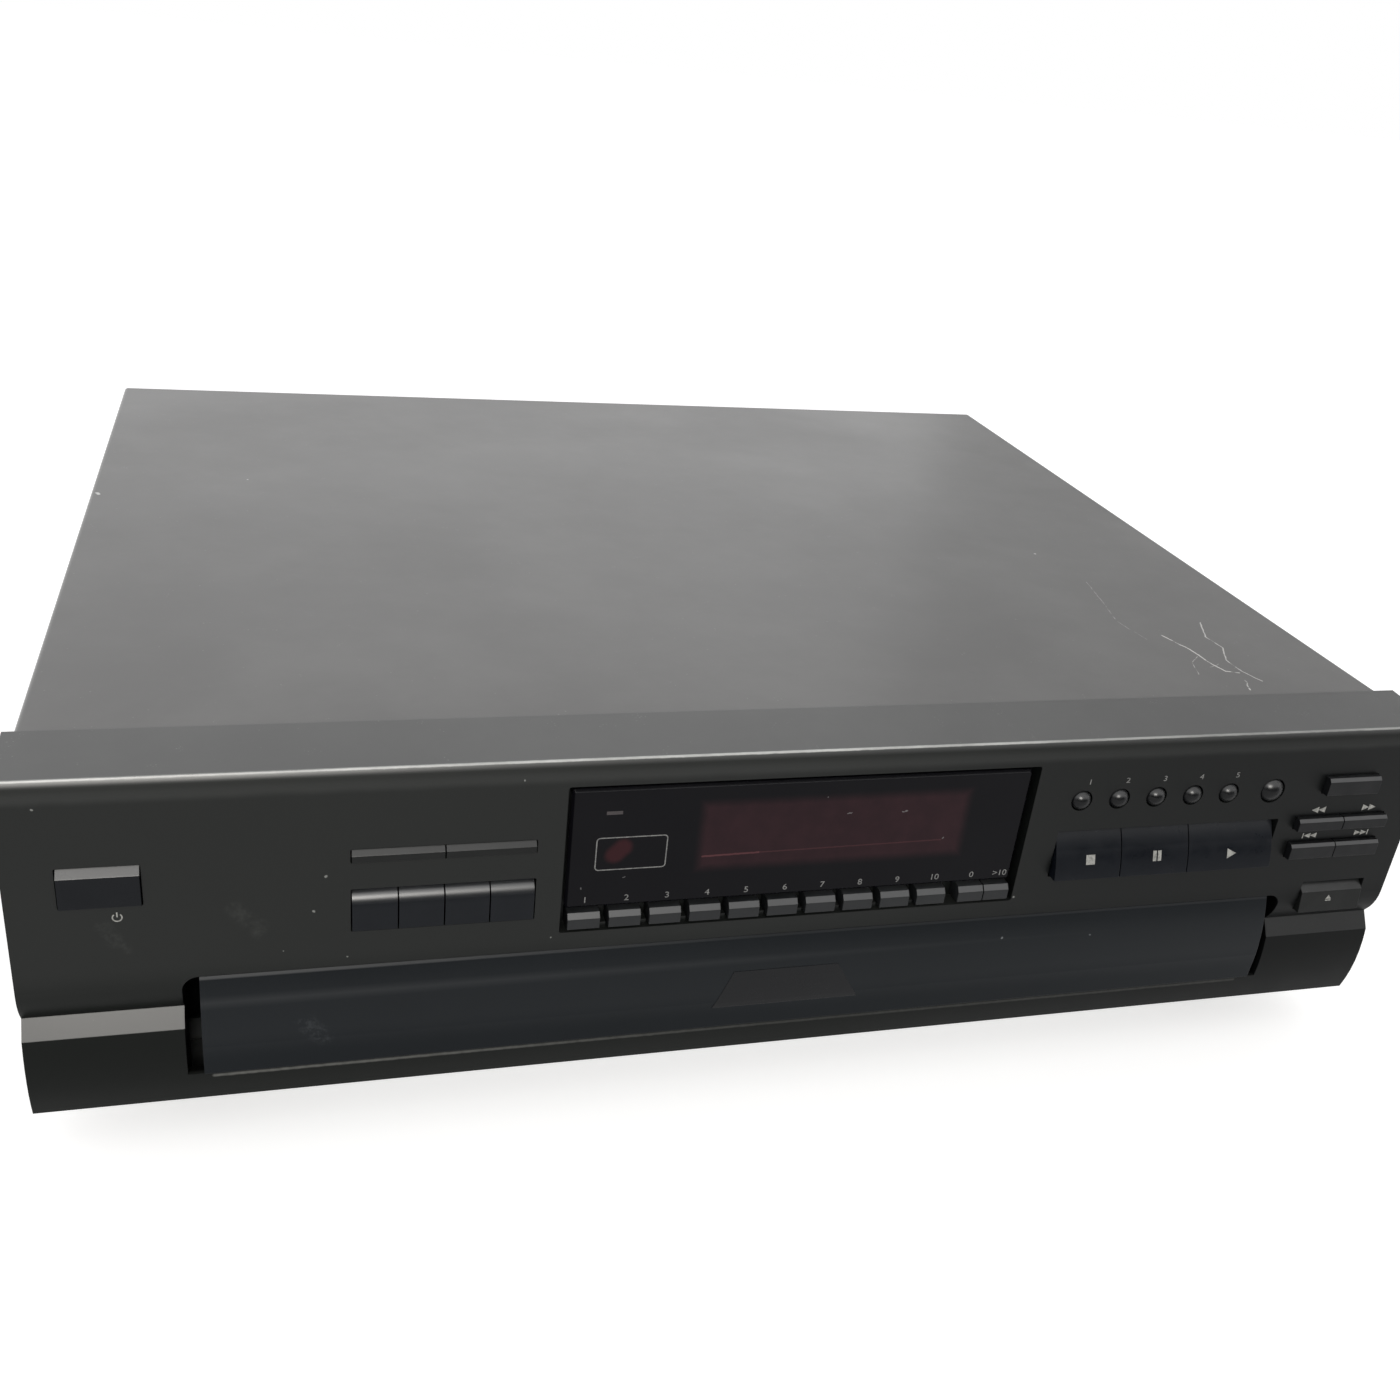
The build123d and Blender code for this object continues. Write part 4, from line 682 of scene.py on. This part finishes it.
power_finish = key_finish(
    "power key", (0.0036, 0.0044, 0.0060), (0.0060, 0.0070, 0.0090), 0.34, 0.12, top=0.58
)
thin_finish = key_finish(
    "thin key", (0.0046, 0.0050, 0.0058), (0.0078, 0.0083, 0.0092), 0.40, 0.14, top=0.8
)
slim_finish = key_finish(
    "slim key", (0.0050, 0.0056, 0.0056), (0.0085, 0.0092, 0.0090), 0.40, 0.16, top=0.36
)
mode_finish = key_finish(
    "mode key", (0.0040, 0.0050, 0.0070), (0.0064, 0.0078, 0.0104), 0.36, 0.13, top=1.0
)
number_finish = key_finish(
    "number key", (0.0095, 0.0104, 0.0115), (0.0155, 0.0168, 0.0182), 0.40, 0.22, top=0.8, corner=0.45
)
dome_finish = key_finish(
    "disc key",
    (0.0036, 0.0040, 0.0046),
    (0.0060, 0.0064, 0.0072),
    0.26,
    0.16,
    top=0.6,
    corner=0.01,
    depth=0.03,
)
swell_finish = key_finish(
    "transport key", (0.0028, 0.0038, 0.0060), (0.0052, 0.0066, 0.0096), 0.35, 0.12, top=0.22, swell=0.26
)
wear("power_key", power_finish)
for name in ("scan_key", "edit_key", "open_close_key"):
    wear(name, slim_finish)
wear("program_key", thin_finish)
for side in ("back", "forward"):
    wear(f"search_{side}_key", thin_finish)
    wear(f"skip_{side}_key", thin_finish)
for name in ("time_key", "spiral_key", "random_key", "repeat_key"):
    wear(name, mode_finish)
for number in range(1, 13):
    wear(f"number_key_{number}", number_finish)
for disc in range(1, 6):
    wear(f"disc_key_{disc}", dome_finish)
wear("disc_skip_key", dome_finish)
for name in ("stop_key", "pause_key", "play_key"):
    wear(name, swell_finish)

transport_marks = {
    "stop_key": (95.6, 64.9, [bar(-1.55, 1.55, 1.5)]),
    "pause_key": (119.5, 64.8, [bar(-1.5, -0.25, 1.6), bar(0.25, 1.5, 1.6)]),
    "play_key": (147.0, 64.1, [pointer(-1.5, 1.7, 1.6, 1)]),
}
for key, (x, h, shapes) in transport_marks.items():
    name = key.replace("_key", "_print")
    print_shape(name, shapes, x, h, key, key, pale_ink, slices=2)
eject_mark = [
    [(-1.1, -0.15), (1.1, -0.15), (0.0, 1.25)],
    [(-1.1, -0.85), (1.1, -0.85), (1.1, -0.45), (-1.1, -0.45)],
]
print_shape(
    "eject_print", eject_mark, 192.6, 42.4, "open_close_key", "open_close_key", pale_ink
)

# ---------------------------------------------------------------- front board
# Every key's switch, the display tube and the receiver's can stand on one brown laminate board,
# screwed to posts behind the panel.
copper_board, tree, shader = new_material("laminate board", 0.5, 0.4)
weave = noise(tree, 1400.0, 3.0)
laminate = mix_colour(tree, weave, (0.115, 0.070, 0.030), (0.165, 0.105, 0.048))
tube = zone(tree, (-35.0, 55.0), (9.0, 19.9), (65.0, 94.0))
can = zone(tree, (-58.0, -47.0), (9.0, 19.9), (69.0, 81.5))
switches = zone(tree, (-220.0, 220.0), (15.0, 19.9), (34.0, 101.0))
laminate = mix_colour(tree, switches, laminate, (0.035, 0.035, 0.038))
laminate = mix_colour(tree, tube, laminate, (0.020, 0.030, 0.028))
laminate = mix_colour(tree, can, laminate, (0.35, 0.35, 0.34))
tree.links.new(laminate, shader.inputs["Base Color"])
tree.links.new(times(tree, can, 0.9), shader.inputs["Metallic"])
tree.links.new(ramp(tree, tube, 0.0, 1.0, 0.5, 0.12), shader.inputs["Roughness"])
wear("front_board", copper_board)

# ---------------------------------------------------------------- drawer front
# The drawer's long moulding bulges gently forward. It is a blue black, smoother than the panel, and
# carries a low bare plaque in its middle.
plaque_top = (-17.6, 15.9, 32.5)
plaque_base = (-23.5, 23.6, 20.0)
plaque_rise = 0.12

drawer_skin, tree, shader = new_material("drawer skin", 0.36, 0.105)
skin = use_group(tree, skin_group, None, Grain=2800.0, Blotch=24.0, Corner=0.4 * mm, Depth=0.16)
colour = mix_colour(tree, skin["Shade"], (0.0026, 0.0042, 0.0058), (0.0050, 0.0070, 0.0092))
grit = [
    mark(tree, (x, 0.0, h), (x, 0.0, h), width, 0.8, 1500.0)
    for x, h, width in (
        (-97.9, 29.2, 1.0),
        (-67.5, 37.3, 0.8),
        (71.4, 36.5, 1.1),
        (76.0, 31.0, 0.8),
        (103.2, 35.1, 0.95),
        (110.4, 38.6, 0.8),
        (-24.0, 34.0, 0.55),
        (-118.0, 24.0, 0.5),
    )
]
across = along_axis(tree, "X")
band = zone(tree, (-172.0, 172.0), (-6.0, 8.0), (35.9, 36.1), 4.2)
band = times(tree, band, ramp(tree, across, -0.17, 0.17, 0.40, 0.13))
middle = ramp(
    tree, along_axis(tree, "Z"), case_base + 16.0 * mm, case_base + 26.0 * mm, 0.0, 0.07
)
brim = zone(tree, (-172.0, 172.0), (0.4, 3.2), (42.6, 44.0), 0.35)
brim = times(tree, brim, ramp(tree, across, -0.17, 0.0, 0.9, 0.25))
tree.links.new(any_of(tree, [band, middle, brim]), shader.inputs["Coat Weight"])
shader.inputs["Coat IOR"].default_value = 1.9
shader.inputs["Coat Roughness"].default_value = 0.34
greasy = mark(tree, (-142.0, -1.0, 27.0), (-137.5, -1.0, 22.6), 7.0, 5.0, 240.0)
smudge = ramp(tree, noise(tree, 700.0, 4.0, 0.7), 0.40, 0.70)
greasy = times(tree, greasy, smudge)
specks = times(tree, any_of(tree, grit), 0.36)
colour = mix_colour(tree, specks, colour, (0.36, 0.38, 0.40))
colour = mix_colour(tree, times(tree, greasy, 0.05), colour, (0.30, 0.32, 0.34))
tree.links.new(colour, shader.inputs["Base Color"])
tree.links.new(ramp(tree, skin["Shade"], 0.25, 0.75, 0.30, 0.42), shader.inputs["Roughness"])
tree.links.new(skin["Normal"], shader.inputs["Normal"])
wear("drawer_front", drawer_skin)

plaque_finish = key_finish(
    "plaque", (0.0030, 0.0034, 0.0044), (0.0050, 0.0054, 0.0068), 0.22, 0.2, depth=0.03
)


def drawer_plaque():
    """A low trapezium with a softened edge, fitted to the drawer's bulge."""
    rows = 8
    columns = 12
    sheet = bmesh.new()
    grid = []
    for row in range(rows + 1):
        part = row / rows
        left = plaque_base[0] + (plaque_top[0] - plaque_base[0]) * part
        right = plaque_base[1] + (plaque_top[1] - plaque_base[1]) * part
        h = plaque_base[2] + (plaque_top[2] - plaque_base[2]) * part
        grid.append(
            [
                sheet.verts.new(
                    (
                        (left + (right - left) * column / columns) * mm,
                        -plaque_rise * mm,
                        case_base + h * mm,
                    )
                )
                for column in range(columns + 1)
            ]
        )
    for row in range(rows):
        for column in range(columns):
            sheet.faces.new(
                (
                    grid[row][column],
                    grid[row][column + 1],
                    grid[row + 1][column + 1],
                    grid[row + 1][column],
                )
            )
    grown = bmesh.ops.extrude_face_region(sheet, geom=sheet.faces[:])
    back = [item for item in grown["geom"] if isinstance(item, bmesh.types.BMVert)]
    bmesh.ops.translate(sheet, verts=back, vec=(0, (plaque_rise + ink_sunk) * mm, 0))
    bmesh.ops.recalc_face_normals(sheet, faces=sheet.faces[:])
    mesh = bpy.data.meshes.new("drawer_plaque")
    sheet.to_mesh(mesh)
    sheet.free()
    lay_on(mesh, "drawer_front")
    return add_piece("drawer_plaque", mesh, plaque_finish, "drawer")


drawer_plaque()

# ---------------------------------------------------------------- top cover
# A single bent sheet of steel, painted satin charcoal. Its right front corner is scratched to the
# metal, a chip shows at the left edge, and the paint has a faint bloom of dust.
cover_top = 105.15
scratch_paths = (
    ((155, 128), (151, 108), (147, 91), (150, 75)),
    ((158, 78), (162, 66), (163, 55), (165, 48), (169, 47)),
    ((181, 89), (175, 76), (176, 67), (171, 57), (171, 48), (174, 40)),
    ((168, 41), (165, 34)),
    ((163, 62), (156, 55), (153, 46)),
    ((166, 54), (158, 50)),
)
scratch_widths = (0.45, 0.8, 0.7, 0.7, 0.4, 0.35)
scratch_weights = (0.35, 0.95, 0.75, 0.9, 0.5, 0.45)

cover_paint, tree, shader = new_material("cover paint", 0.32, 0.75)
skin = use_group(tree, skin_group, None, Grain=1500.0, Blotch=9.0, Corner=0.5 * mm, Depth=0.12)
paint = mix_colour(tree, skin["Shade"], (0.052, 0.051, 0.050), (0.066, 0.065, 0.064))
film = use_group(tree, dust_group, "Mask", Film=0.10, Specks=0.30, Speck_Scale=800.0)
paint = mix_colour(tree, film, paint, (0.30, 0.30, 0.29))
for path, width, weight in zip(scratch_paths, scratch_widths, scratch_weights):
    legs = [
        mark(tree, (*start, cover_top), (*end, cover_top), width, 1.2, 220.0)
        for start, end in zip(path, path[1:])
    ]
    broken = ramp(tree, noise(tree, 260.0, 3.0, 0.6), 0.30, 0.52)
    shown = times(tree, any_of(tree, legs), broken)
    shown = times(tree, shown, weight)
    paint = mix_colour(tree, shown, paint, (0.66, 0.65, 0.63))
chips = [
    mark(tree, (-211.0, 218.0, cover_top), (-210.4, 216.5, cover_top), 1.8, 0.8, 500.0),
    mark(tree, (148.0, 158.0, cover_top), (148.0, 158.0, cover_top), 1.4, 0.8, 500.0),
    mark(tree, (-158.0, 236.0, cover_top), (-158.0, 236.0, cover_top), 1.0, 0.8, 500.0),
]
paint = mix_colour(tree, any_of(tree, chips), paint, (0.55, 0.55, 0.54))
tree.links.new(paint, shader.inputs["Base Color"])
tree.links.new(ramp(tree, skin["Shade"], 0.25, 0.75, 0.30, 0.40), shader.inputs["Roughness"])
tree.links.new(skin["Normal"], shader.inputs["Normal"])
shader.inputs["Coat Weight"].default_value = 0.35
shader.inputs["Coat Roughness"].default_value = 0.22
wear("top_cover", cover_paint)

# ---------------------------------------------------------------- chassis and rear panel
# The pan is pressed from bright zinc coated steel and left as it comes from the coil; the rear panel
# is the same sheet with a coat of matt black.


def metal_finish(name, dark, light, roughness, metallic=1.0, run=(12.0, 260.0, 260.0)):
    """Sheet or turned metal: streaks along its rolling direction and small cloudy spangles."""
    material, tree, shader = new_material(name, roughness, 0.5, metallic)
    stretched = vector_node(tree, "MULTIPLY", own_place(tree), run)
    streak = noise(tree, 6.0, 4.0, 0.6, stretched)
    spangle = noise(tree, 130.0, 2.0)
    half_streak = times(tree, streak, 0.5)
    cloud = math_node(tree, "MULTIPLY_ADD", spangle, 0.5, half_streak)
    tree.links.new(mix_colour(tree, cloud, dark, light), shader.inputs["Base Color"])
    tree.links.new(
        ramp(tree, streak, 0.2, 0.8, roughness - 0.07, roughness + 0.09), shader.inputs["Roughness"]
    )
    bump = tree.nodes.new("ShaderNodeBump")
    bump.inputs["Strength"].default_value = 0.15
    bump.inputs["Distance"].default_value = 0.00003
    tree.links.new(streak, bump.inputs["Height"])
    tree.links.new(bump.outputs["Normal"], shader.inputs["Normal"])
    return material


def paint_finish(name, dark, light, roughness, grain=1800.0, specular=0.4):
    """A painted or moulded skin with a fine orange peel."""
    material, tree, shader = new_material(name, roughness, specular)
    skin = use_group(tree, skin_group, None, Grain=grain, Blotch=30.0, Corner=0.25 * mm, Depth=0.25)
    dust = use_group(tree, dust_group, "Mask", Film=0.12, Specks=0.3, Speck_Scale=900.0)
    colour = mix_colour(tree, skin["Shade"], dark, light)
    tree.links.new(mix_colour(tree, dust, colour, (0.30, 0.29, 0.27)), shader.inputs["Base Color"])
    tree.links.new(
        ramp(tree, skin["Shade"], 0.2, 0.8, roughness - 0.06, roughness + 0.08),
        shader.inputs["Roughness"],
    )
    tree.links.new(skin["Normal"], shader.inputs["Normal"])
    return material


zinc = metal_finish("zinc steel", (0.44, 0.45, 0.46), (0.60, 0.61, 0.61), 0.34)
rear_paint = paint_finish("rear paint", (0.018, 0.018, 0.018), (0.028, 0.028, 0.028), 0.5)
screw_black = metal_finish("blackened screw", (0.035, 0.035, 0.037), (0.060, 0.060, 0.062), 0.34, 0.8)
wear("chassis_base", zinc)
wear("rear_panel", rear_paint)
wear("case_screws", screw_black)

# ---------------------------------------------------------------- rear sockets
# Two nickel plated output sockets, one with a white and one with a red collar, on a black housing,
# and the moulded mains inlet with its two pins.
jack_x = 190.0
jack_hs = (34.0, 54.0)
socket_finish, tree, shader = new_material("sockets", 0.4, 0.5)
skin = use_group(tree, skin_group, None, Grain=2200.0, Blotch=60.0, Corner=0.2 * mm, Depth=0.15)
colour = mix_colour(tree, skin["Shade"], (0.014, 0.014, 0.014), (0.024, 0.024, 0.025))
collars = zip(jack_hs, ((0.42, 0.030, 0.026), (0.62, 0.62, 0.60)))
for h, collar in collars:
    ring = zone(tree, (jack_x - 8.0, jack_x + 8.0), (362.8, 364.6), (h - 8.0, h + 8.0), 0.1)
    colour = mix_colour(tree, ring, colour, collar)
shells = zone(
    tree, (jack_x - 6.0, jack_x + 6.0), (364.4, 375.0), (jack_hs[0] - 6.0, jack_hs[1] + 6.0), 0.1
)
colour = mix_colour(tree, shells, colour, (0.62, 0.61, 0.58))
pins = zone(tree, (-198.5, -185.5), (352.6, 364.5), (28.4, 31.6), 0.1)
colour = mix_colour(tree, pins, colour, (0.60, 0.58, 0.52))
tree.links.new(colour, shader.inputs["Base Color"])
tree.links.new(any_of(tree, [shells, pins]), shader.inputs["Metallic"])
tree.links.new(ramp(tree, shells, 0.0, 1.0, 0.42, 0.22), shader.inputs["Roughness"])
tree.links.new(skin["Normal"], shader.inputs["Normal"])
wear("rear_sockets", socket_finish)

# ---------------------------------------------------------------- feet
# Four round moulded feet, dull black and lightly grained, each with a soft pad let into its
# underside. They seat against the pan.
foot_black = paint_finish("foot moulding", (0.016, 0.016, 0.016), (0.026, 0.026, 0.026), 0.55, 1400.0)
wear("feet", foot_black)

# ---------------------------------------------------------------- main board and transformer
# The main board stands along the right wall with its capacitors and heat sink; the transformer,
# laminated steel round a taped winding, is strapped down at the left.
main_finish, tree, shader = new_material("main board", 0.5, 0.4)
weave = noise(tree, 1400.0, 3.0)
colour = mix_colour(tree, weave, (0.105, 0.062, 0.026), (0.150, 0.094, 0.042))
raised = zone(tree, (170.0, 215.0), (60.0, 360.0), (9.9, 60.0), 0.1)
sleeves = noise(tree, 300.0)
sleeves = mix_colour(tree, sleeves, (0.016, 0.020, 0.040), (0.026, 0.030, 0.055))
colour = mix_colour(tree, raised, colour, sleeves)
sink = zone(tree, (180.4, 183.6), (89.0, 141.0), (9.9, 60.0), 0.1)
colour = mix_colour(tree, sink, colour, (0.56, 0.56, 0.57))
tree.links.new(colour, shader.inputs["Base Color"])
tree.links.new(sink, shader.inputs["Metallic"])
tree.links.new(ramp(tree, weave, 0.2, 0.8, 0.38, 0.55), shader.inputs["Roughness"])
wear("main_board", main_finish)

core_finish, tree, shader = new_material("transformer", 0.5, 0.4, 0.0)
sheets = vector_node(tree, "MULTIPLY", own_place(tree), (1800.0, 8.0, 8.0))
layer = noise(tree, 1.0, 2.0, place=sheets)
colour = mix_colour(tree, layer, (0.050, 0.047, 0.044), (0.120, 0.112, 0.104))
tape_left = zone(tree, (-209.0, -205.1), (268.0, 298.0), (12.0, 36.0), 0.1)
tape_right = zone(tree, (-180.9, -177.0), (268.0, 298.0), (12.0, 36.0), 0.1)
tape = any_of(tree, [tape_left, tape_right])
wrapped = mix_colour(tree, noise(tree, 220.0), (0.46, 0.36, 0.08), (0.58, 0.46, 0.12))
colour = mix_colour(tree, tape, colour, wrapped)
tree.links.new(colour, shader.inputs["Base Color"])
tree.links.new(ramp(tree, tape, 0.0, 1.0, 0.55, 0.0), shader.inputs["Metallic"])
tree.links.new(ramp(tree, layer, 0.2, 0.8, 0.42, 0.60), shader.inputs["Roughness"])
wear("power_transformer", core_finish)

# ---------------------------------------------------------------- drawer tray and carousel
# The tray and the turntable that turns in it are black styrene with a fine matt skin; the turntable is
# finely scuffed all over, lighter and rougher where the scuffs lie.
tray_black = paint_finish("tray moulding", (0.014, 0.014, 0.015), (0.022, 0.022, 0.023), 0.46, 2400.0)
wear("drawer_tray", tray_black)

carousel_skin, tree, shader = new_material("carousel moulding", 0.4, 0.45)
skin = use_group(tree, skin_group, None, Grain=2400.0, Blotch=26.0, Corner=0.3 * mm, Depth=0.2)
fine_lines = vector_node(tree, "MULTIPLY", own_place(tree), (90.0, 90.0, 90.0))
scuffed = ramp(tree, noise(tree, 3.0, 6.0, 0.75, fine_lines), 0.50, 0.72)
colour = mix_colour(tree, skin["Shade"], (0.017, 0.017, 0.018), (0.026, 0.026, 0.027))
colour = mix_colour(tree, times(tree, scuffed, 0.22), colour, (0.11, 0.11, 0.11))
dust = use_group(tree, dust_group, "Mask", Film=0.08, Specks=0.5, Speck_Scale=900.0)
colour = mix_colour(tree, dust, colour, (0.32, 0.31, 0.29))
tree.links.new(colour, shader.inputs["Base Color"])
tree.links.new(ramp(tree, scuffed, 0.0, 1.0, 0.36, 0.54), shader.inputs["Roughness"])
tree.links.new(skin["Normal"], shader.inputs["Normal"])
wear("carousel", carousel_skin)

# ---------------------------------------------------------------- loading frame and drive
# A black styrene frame carries the drawer's rails, the belt wheel and its motor, and the pivots of
# the disc deck. Gears and pulleys are white acetal, the belt is black rubber.
frame_black = paint_finish("frame moulding", (0.012, 0.012, 0.012), (0.020, 0.020, 0.020), 0.48, 1800.0)
acetal = paint_finish("acetal", (0.62, 0.61, 0.56), (0.70, 0.69, 0.64), 0.36, 2600.0)
belt_rubber = paint_finish("belt rubber", (0.011, 0.011, 0.011), (0.019, 0.019, 0.019), 0.66, 1200.0)
motor_can = metal_finish("motor can", (0.50, 0.49, 0.46), (0.64, 0.63, 0.60), 0.26)
wear("loading_frame", frame_black)
wear("loading_belt", belt_rubber)
for name in ("loading_gear", "motor_pulley", "carousel_pinion"):
    wear(name, acetal)
for name in ("loading_motor", "carousel_motor"):
    wear(name, motor_can)

# ---------------------------------------------------------------- disc deck and clamp
# The tipping deck is black moulding with two ground rods. The pickup slides on them behind its
# small blue coated lens, and the bridge above carries the clamper.
deck_finish, tree, shader = new_material("deck", 0.45, 0.45)
skin = use_group(tree, skin_group, None, Grain=2200.0, Blotch=40.0, Corner=0.25 * mm, Depth=0.25)
colour = mix_colour(tree, skin["Shade"], (0.016, 0.016, 0.017), (0.026, 0.026, 0.027))
tree.links.new(colour, shader.inputs["Base Color"])
tree.links.new(ramp(tree, skin["Shade"], 0.2, 0.8, 0.40, 0.54), shader.inputs["Roughness"])
tree.links.new(skin["Normal"], shader.inputs["Normal"])
wear("mech_cradle", deck_finish)
hub_rubber = paint_finish("hub rubber", (0.013, 0.013, 0.013), (0.021, 0.021, 0.021), 0.6, 1600.0)
wear("spindle_hub", hub_rubber)

pickup_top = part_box("pickup")[1].z
pickup_finish, tree, shader = new_material("pickup", 0.4, 0.5)
skin = use_group(tree, skin_group, None, Grain=2600.0, Blotch=90.0, Corner=0.2 * mm, Depth=0.15)
colour = mix_colour(tree, skin["Shade"], (0.020, 0.020, 0.021), (0.034, 0.034, 0.035))
glass = use_group(
    tree,
    zone_group,
    "Mask",
    Low=(-0.3, -0.3, pickup_top - 0.9 * mm),
    High=(0.3, 0.3, pickup_top + 1.0 * mm),
    Soft=0.1 * mm,
)
colour = mix_colour(tree, glass, colour, (0.020, 0.030, 0.10))
tree.links.new(colour, shader.inputs["Base Color"])
tree.links.new(ramp(tree, glass, 0.0, 1.0, 0.40, 0.06), shader.inputs["Roughness"])
tree.links.new(skin["Normal"], shader.inputs["Normal"])
wear("pickup", pickup_finish)
wear("clamp_bridge", zinc)
clamper_finish = paint_finish("clamper", (0.016, 0.016, 0.017), (0.026, 0.026, 0.027), 0.44, 2200.0)
wear("clamper", clamper_finish)

# ---------------------------------------------------------------- floor and light
# A plain white floor, even soft light from all round, and one large soft lamp to the front. Two
# cards are there for the gloss alone: a dark one under the lamp and a light one to the right.
floor_half = 6.0
floor_mesh = bpy.data.meshes.new("floor")
floor_mesh.from_pydata(
    [
        (-floor_half, -floor_half, 0),
        (floor_half, -floor_half, 0),
        (floor_half, floor_half, 0),
        (-floor_half, floor_half, 0),
    ],
    [],
    [(0, 1, 2, 3)],
)
floor = bpy.data.objects.new("floor", floor_mesh)
bpy.context.scene.collection.objects.link(floor)


def seen_directly(tree):
    """1 for rays that the camera, a gloss or a clear piece sends."""
    path = tree.nodes.new("ShaderNodeLightPath").outputs
    return any_of(
        tree, [path["Is Camera Ray"], path["Is Glossy Ray"], path["Is Transmission Ray"]]
    )


floor_white = bpy.data.materials.new("floor white")
floor_white.use_nodes = True
tree = floor_white.node_tree
tree.nodes.clear()
diffuse = tree.nodes.new("ShaderNodeBsdfDiffuse")
diffuse.inputs["Color"].default_value = (0.78, 0.78, 0.78, 1.0)
lift = tree.nodes.new("ShaderNodeEmission")
tree.links.new(times(tree, seen_directly(tree), 0.50), lift.inputs["Strength"])
both = tree.nodes.new("ShaderNodeAddShader")
tree.links.new(diffuse.outputs[0], both.inputs[0])
tree.links.new(lift.outputs[0], both.inputs[1])
tree.links.new(both.outputs[0], tree.nodes.new("ShaderNodeOutputMaterial").inputs["Surface"])
floor_mesh.materials.append(floor_white)

world = bpy.data.worlds.new("soft studio")
bpy.context.scene.world = world
world.use_nodes = True
tree = world.node_tree
tree.nodes.clear()
room = tree.nodes.new("ShaderNodeBackground")
room.inputs["Color"].default_value = (1.0, 1.0, 1.0, 1.0)
tree.links.new(
    math_node(tree, "MULTIPLY_ADD", seen_directly(tree), 0.25, 0.75), room.inputs["Strength"]
)
tree.links.new(room.outputs[0], tree.nodes.new("ShaderNodeOutputWorld").inputs["Surface"])

lamp_data = bpy.data.lights.new("soft lamp", "AREA")
lamp_data.shape = "RECTANGLE"
lamp_data.size = 0.6
lamp_data.size_y = 0.4
lamp_data.energy = 9.0
lamp_data.color = (1.0, 0.97, 0.92)
lamp = bpy.data.objects.new("soft lamp", lamp_data)
bpy.context.scene.collection.objects.link(lamp)
lamp.location = (-0.35, -1.35, 0.85)
lamp.rotation_euler = (Vector((0, 0, 0.05)) - lamp.location).to_track_quat("-Z", "Y").to_euler()

# each card's grey and corners; only reflections show them
cards = {
    "front_card": (0.11, ((-1.6, -1.1, 0.0), (1.6, -1.1, 0.0), (1.6, -1.1, 0.5), (-1.6, -1.1, 0.5))),
    "right_card": (0.86, ((1.6, -0.8, 0.0), (1.6, 3.0, 0.0), (1.6, 3.0, 2.2), (1.6, -0.8, 2.2))),
}
for name, (grey, corners) in cards.items():
    card_grey, tree, shader = new_material(name, 0.9, 0.1)
    shade = noise(tree, 3.0)
    tree.links.new(mix_colour(tree, shade, (grey,) * 3, (grey * 1.1,) * 3), shader.inputs["Base Color"])
    card_mesh = bpy.data.meshes.new(name)
    card_mesh.from_pydata(corners, [], [(0, 1, 2, 3)])
    card_mesh.materials.append(card_grey)
    card = bpy.data.objects.new(name, card_mesh)
    bpy.context.scene.collection.objects.link(card)
    card.visible_camera = False
    card.visible_diffuse = False
    card.visible_shadow = False

# ---------------------------------------------------------------- camera
# Stands to the left of the middle, above the front, and leans a little. Its place, turns and lens
# were solved from the photograph's perspective on the player's width.
camera_place = (-0.14348, -0.51121, 0.31174)
camera_heading = -0.313  # to the right of straight back
camera_dip = 0.460  # below level
camera_lean = 0.115
camera_data = bpy.data.cameras.new("camera")
camera_data.sensor_width = 36.0
camera_data.lens = 36.56
camera_data.clip_start = 0.01
camera = bpy.data.objects.new("camera", camera_data)
bpy.context.scene.collection.objects.link(camera)
camera.matrix_world = (
    Matrix.Translation(camera_place)
    @ Matrix.Rotation(camera_heading, 4, "Z")
    @ Matrix.Rotation(math.pi / 2 - camera_dip, 4, "X")
    @ Matrix.Rotation(camera_lean, 4, "Z")
)
bpy.context.scene.camera = camera
bpy.context.scene.view_settings.view_transform = "Standard"
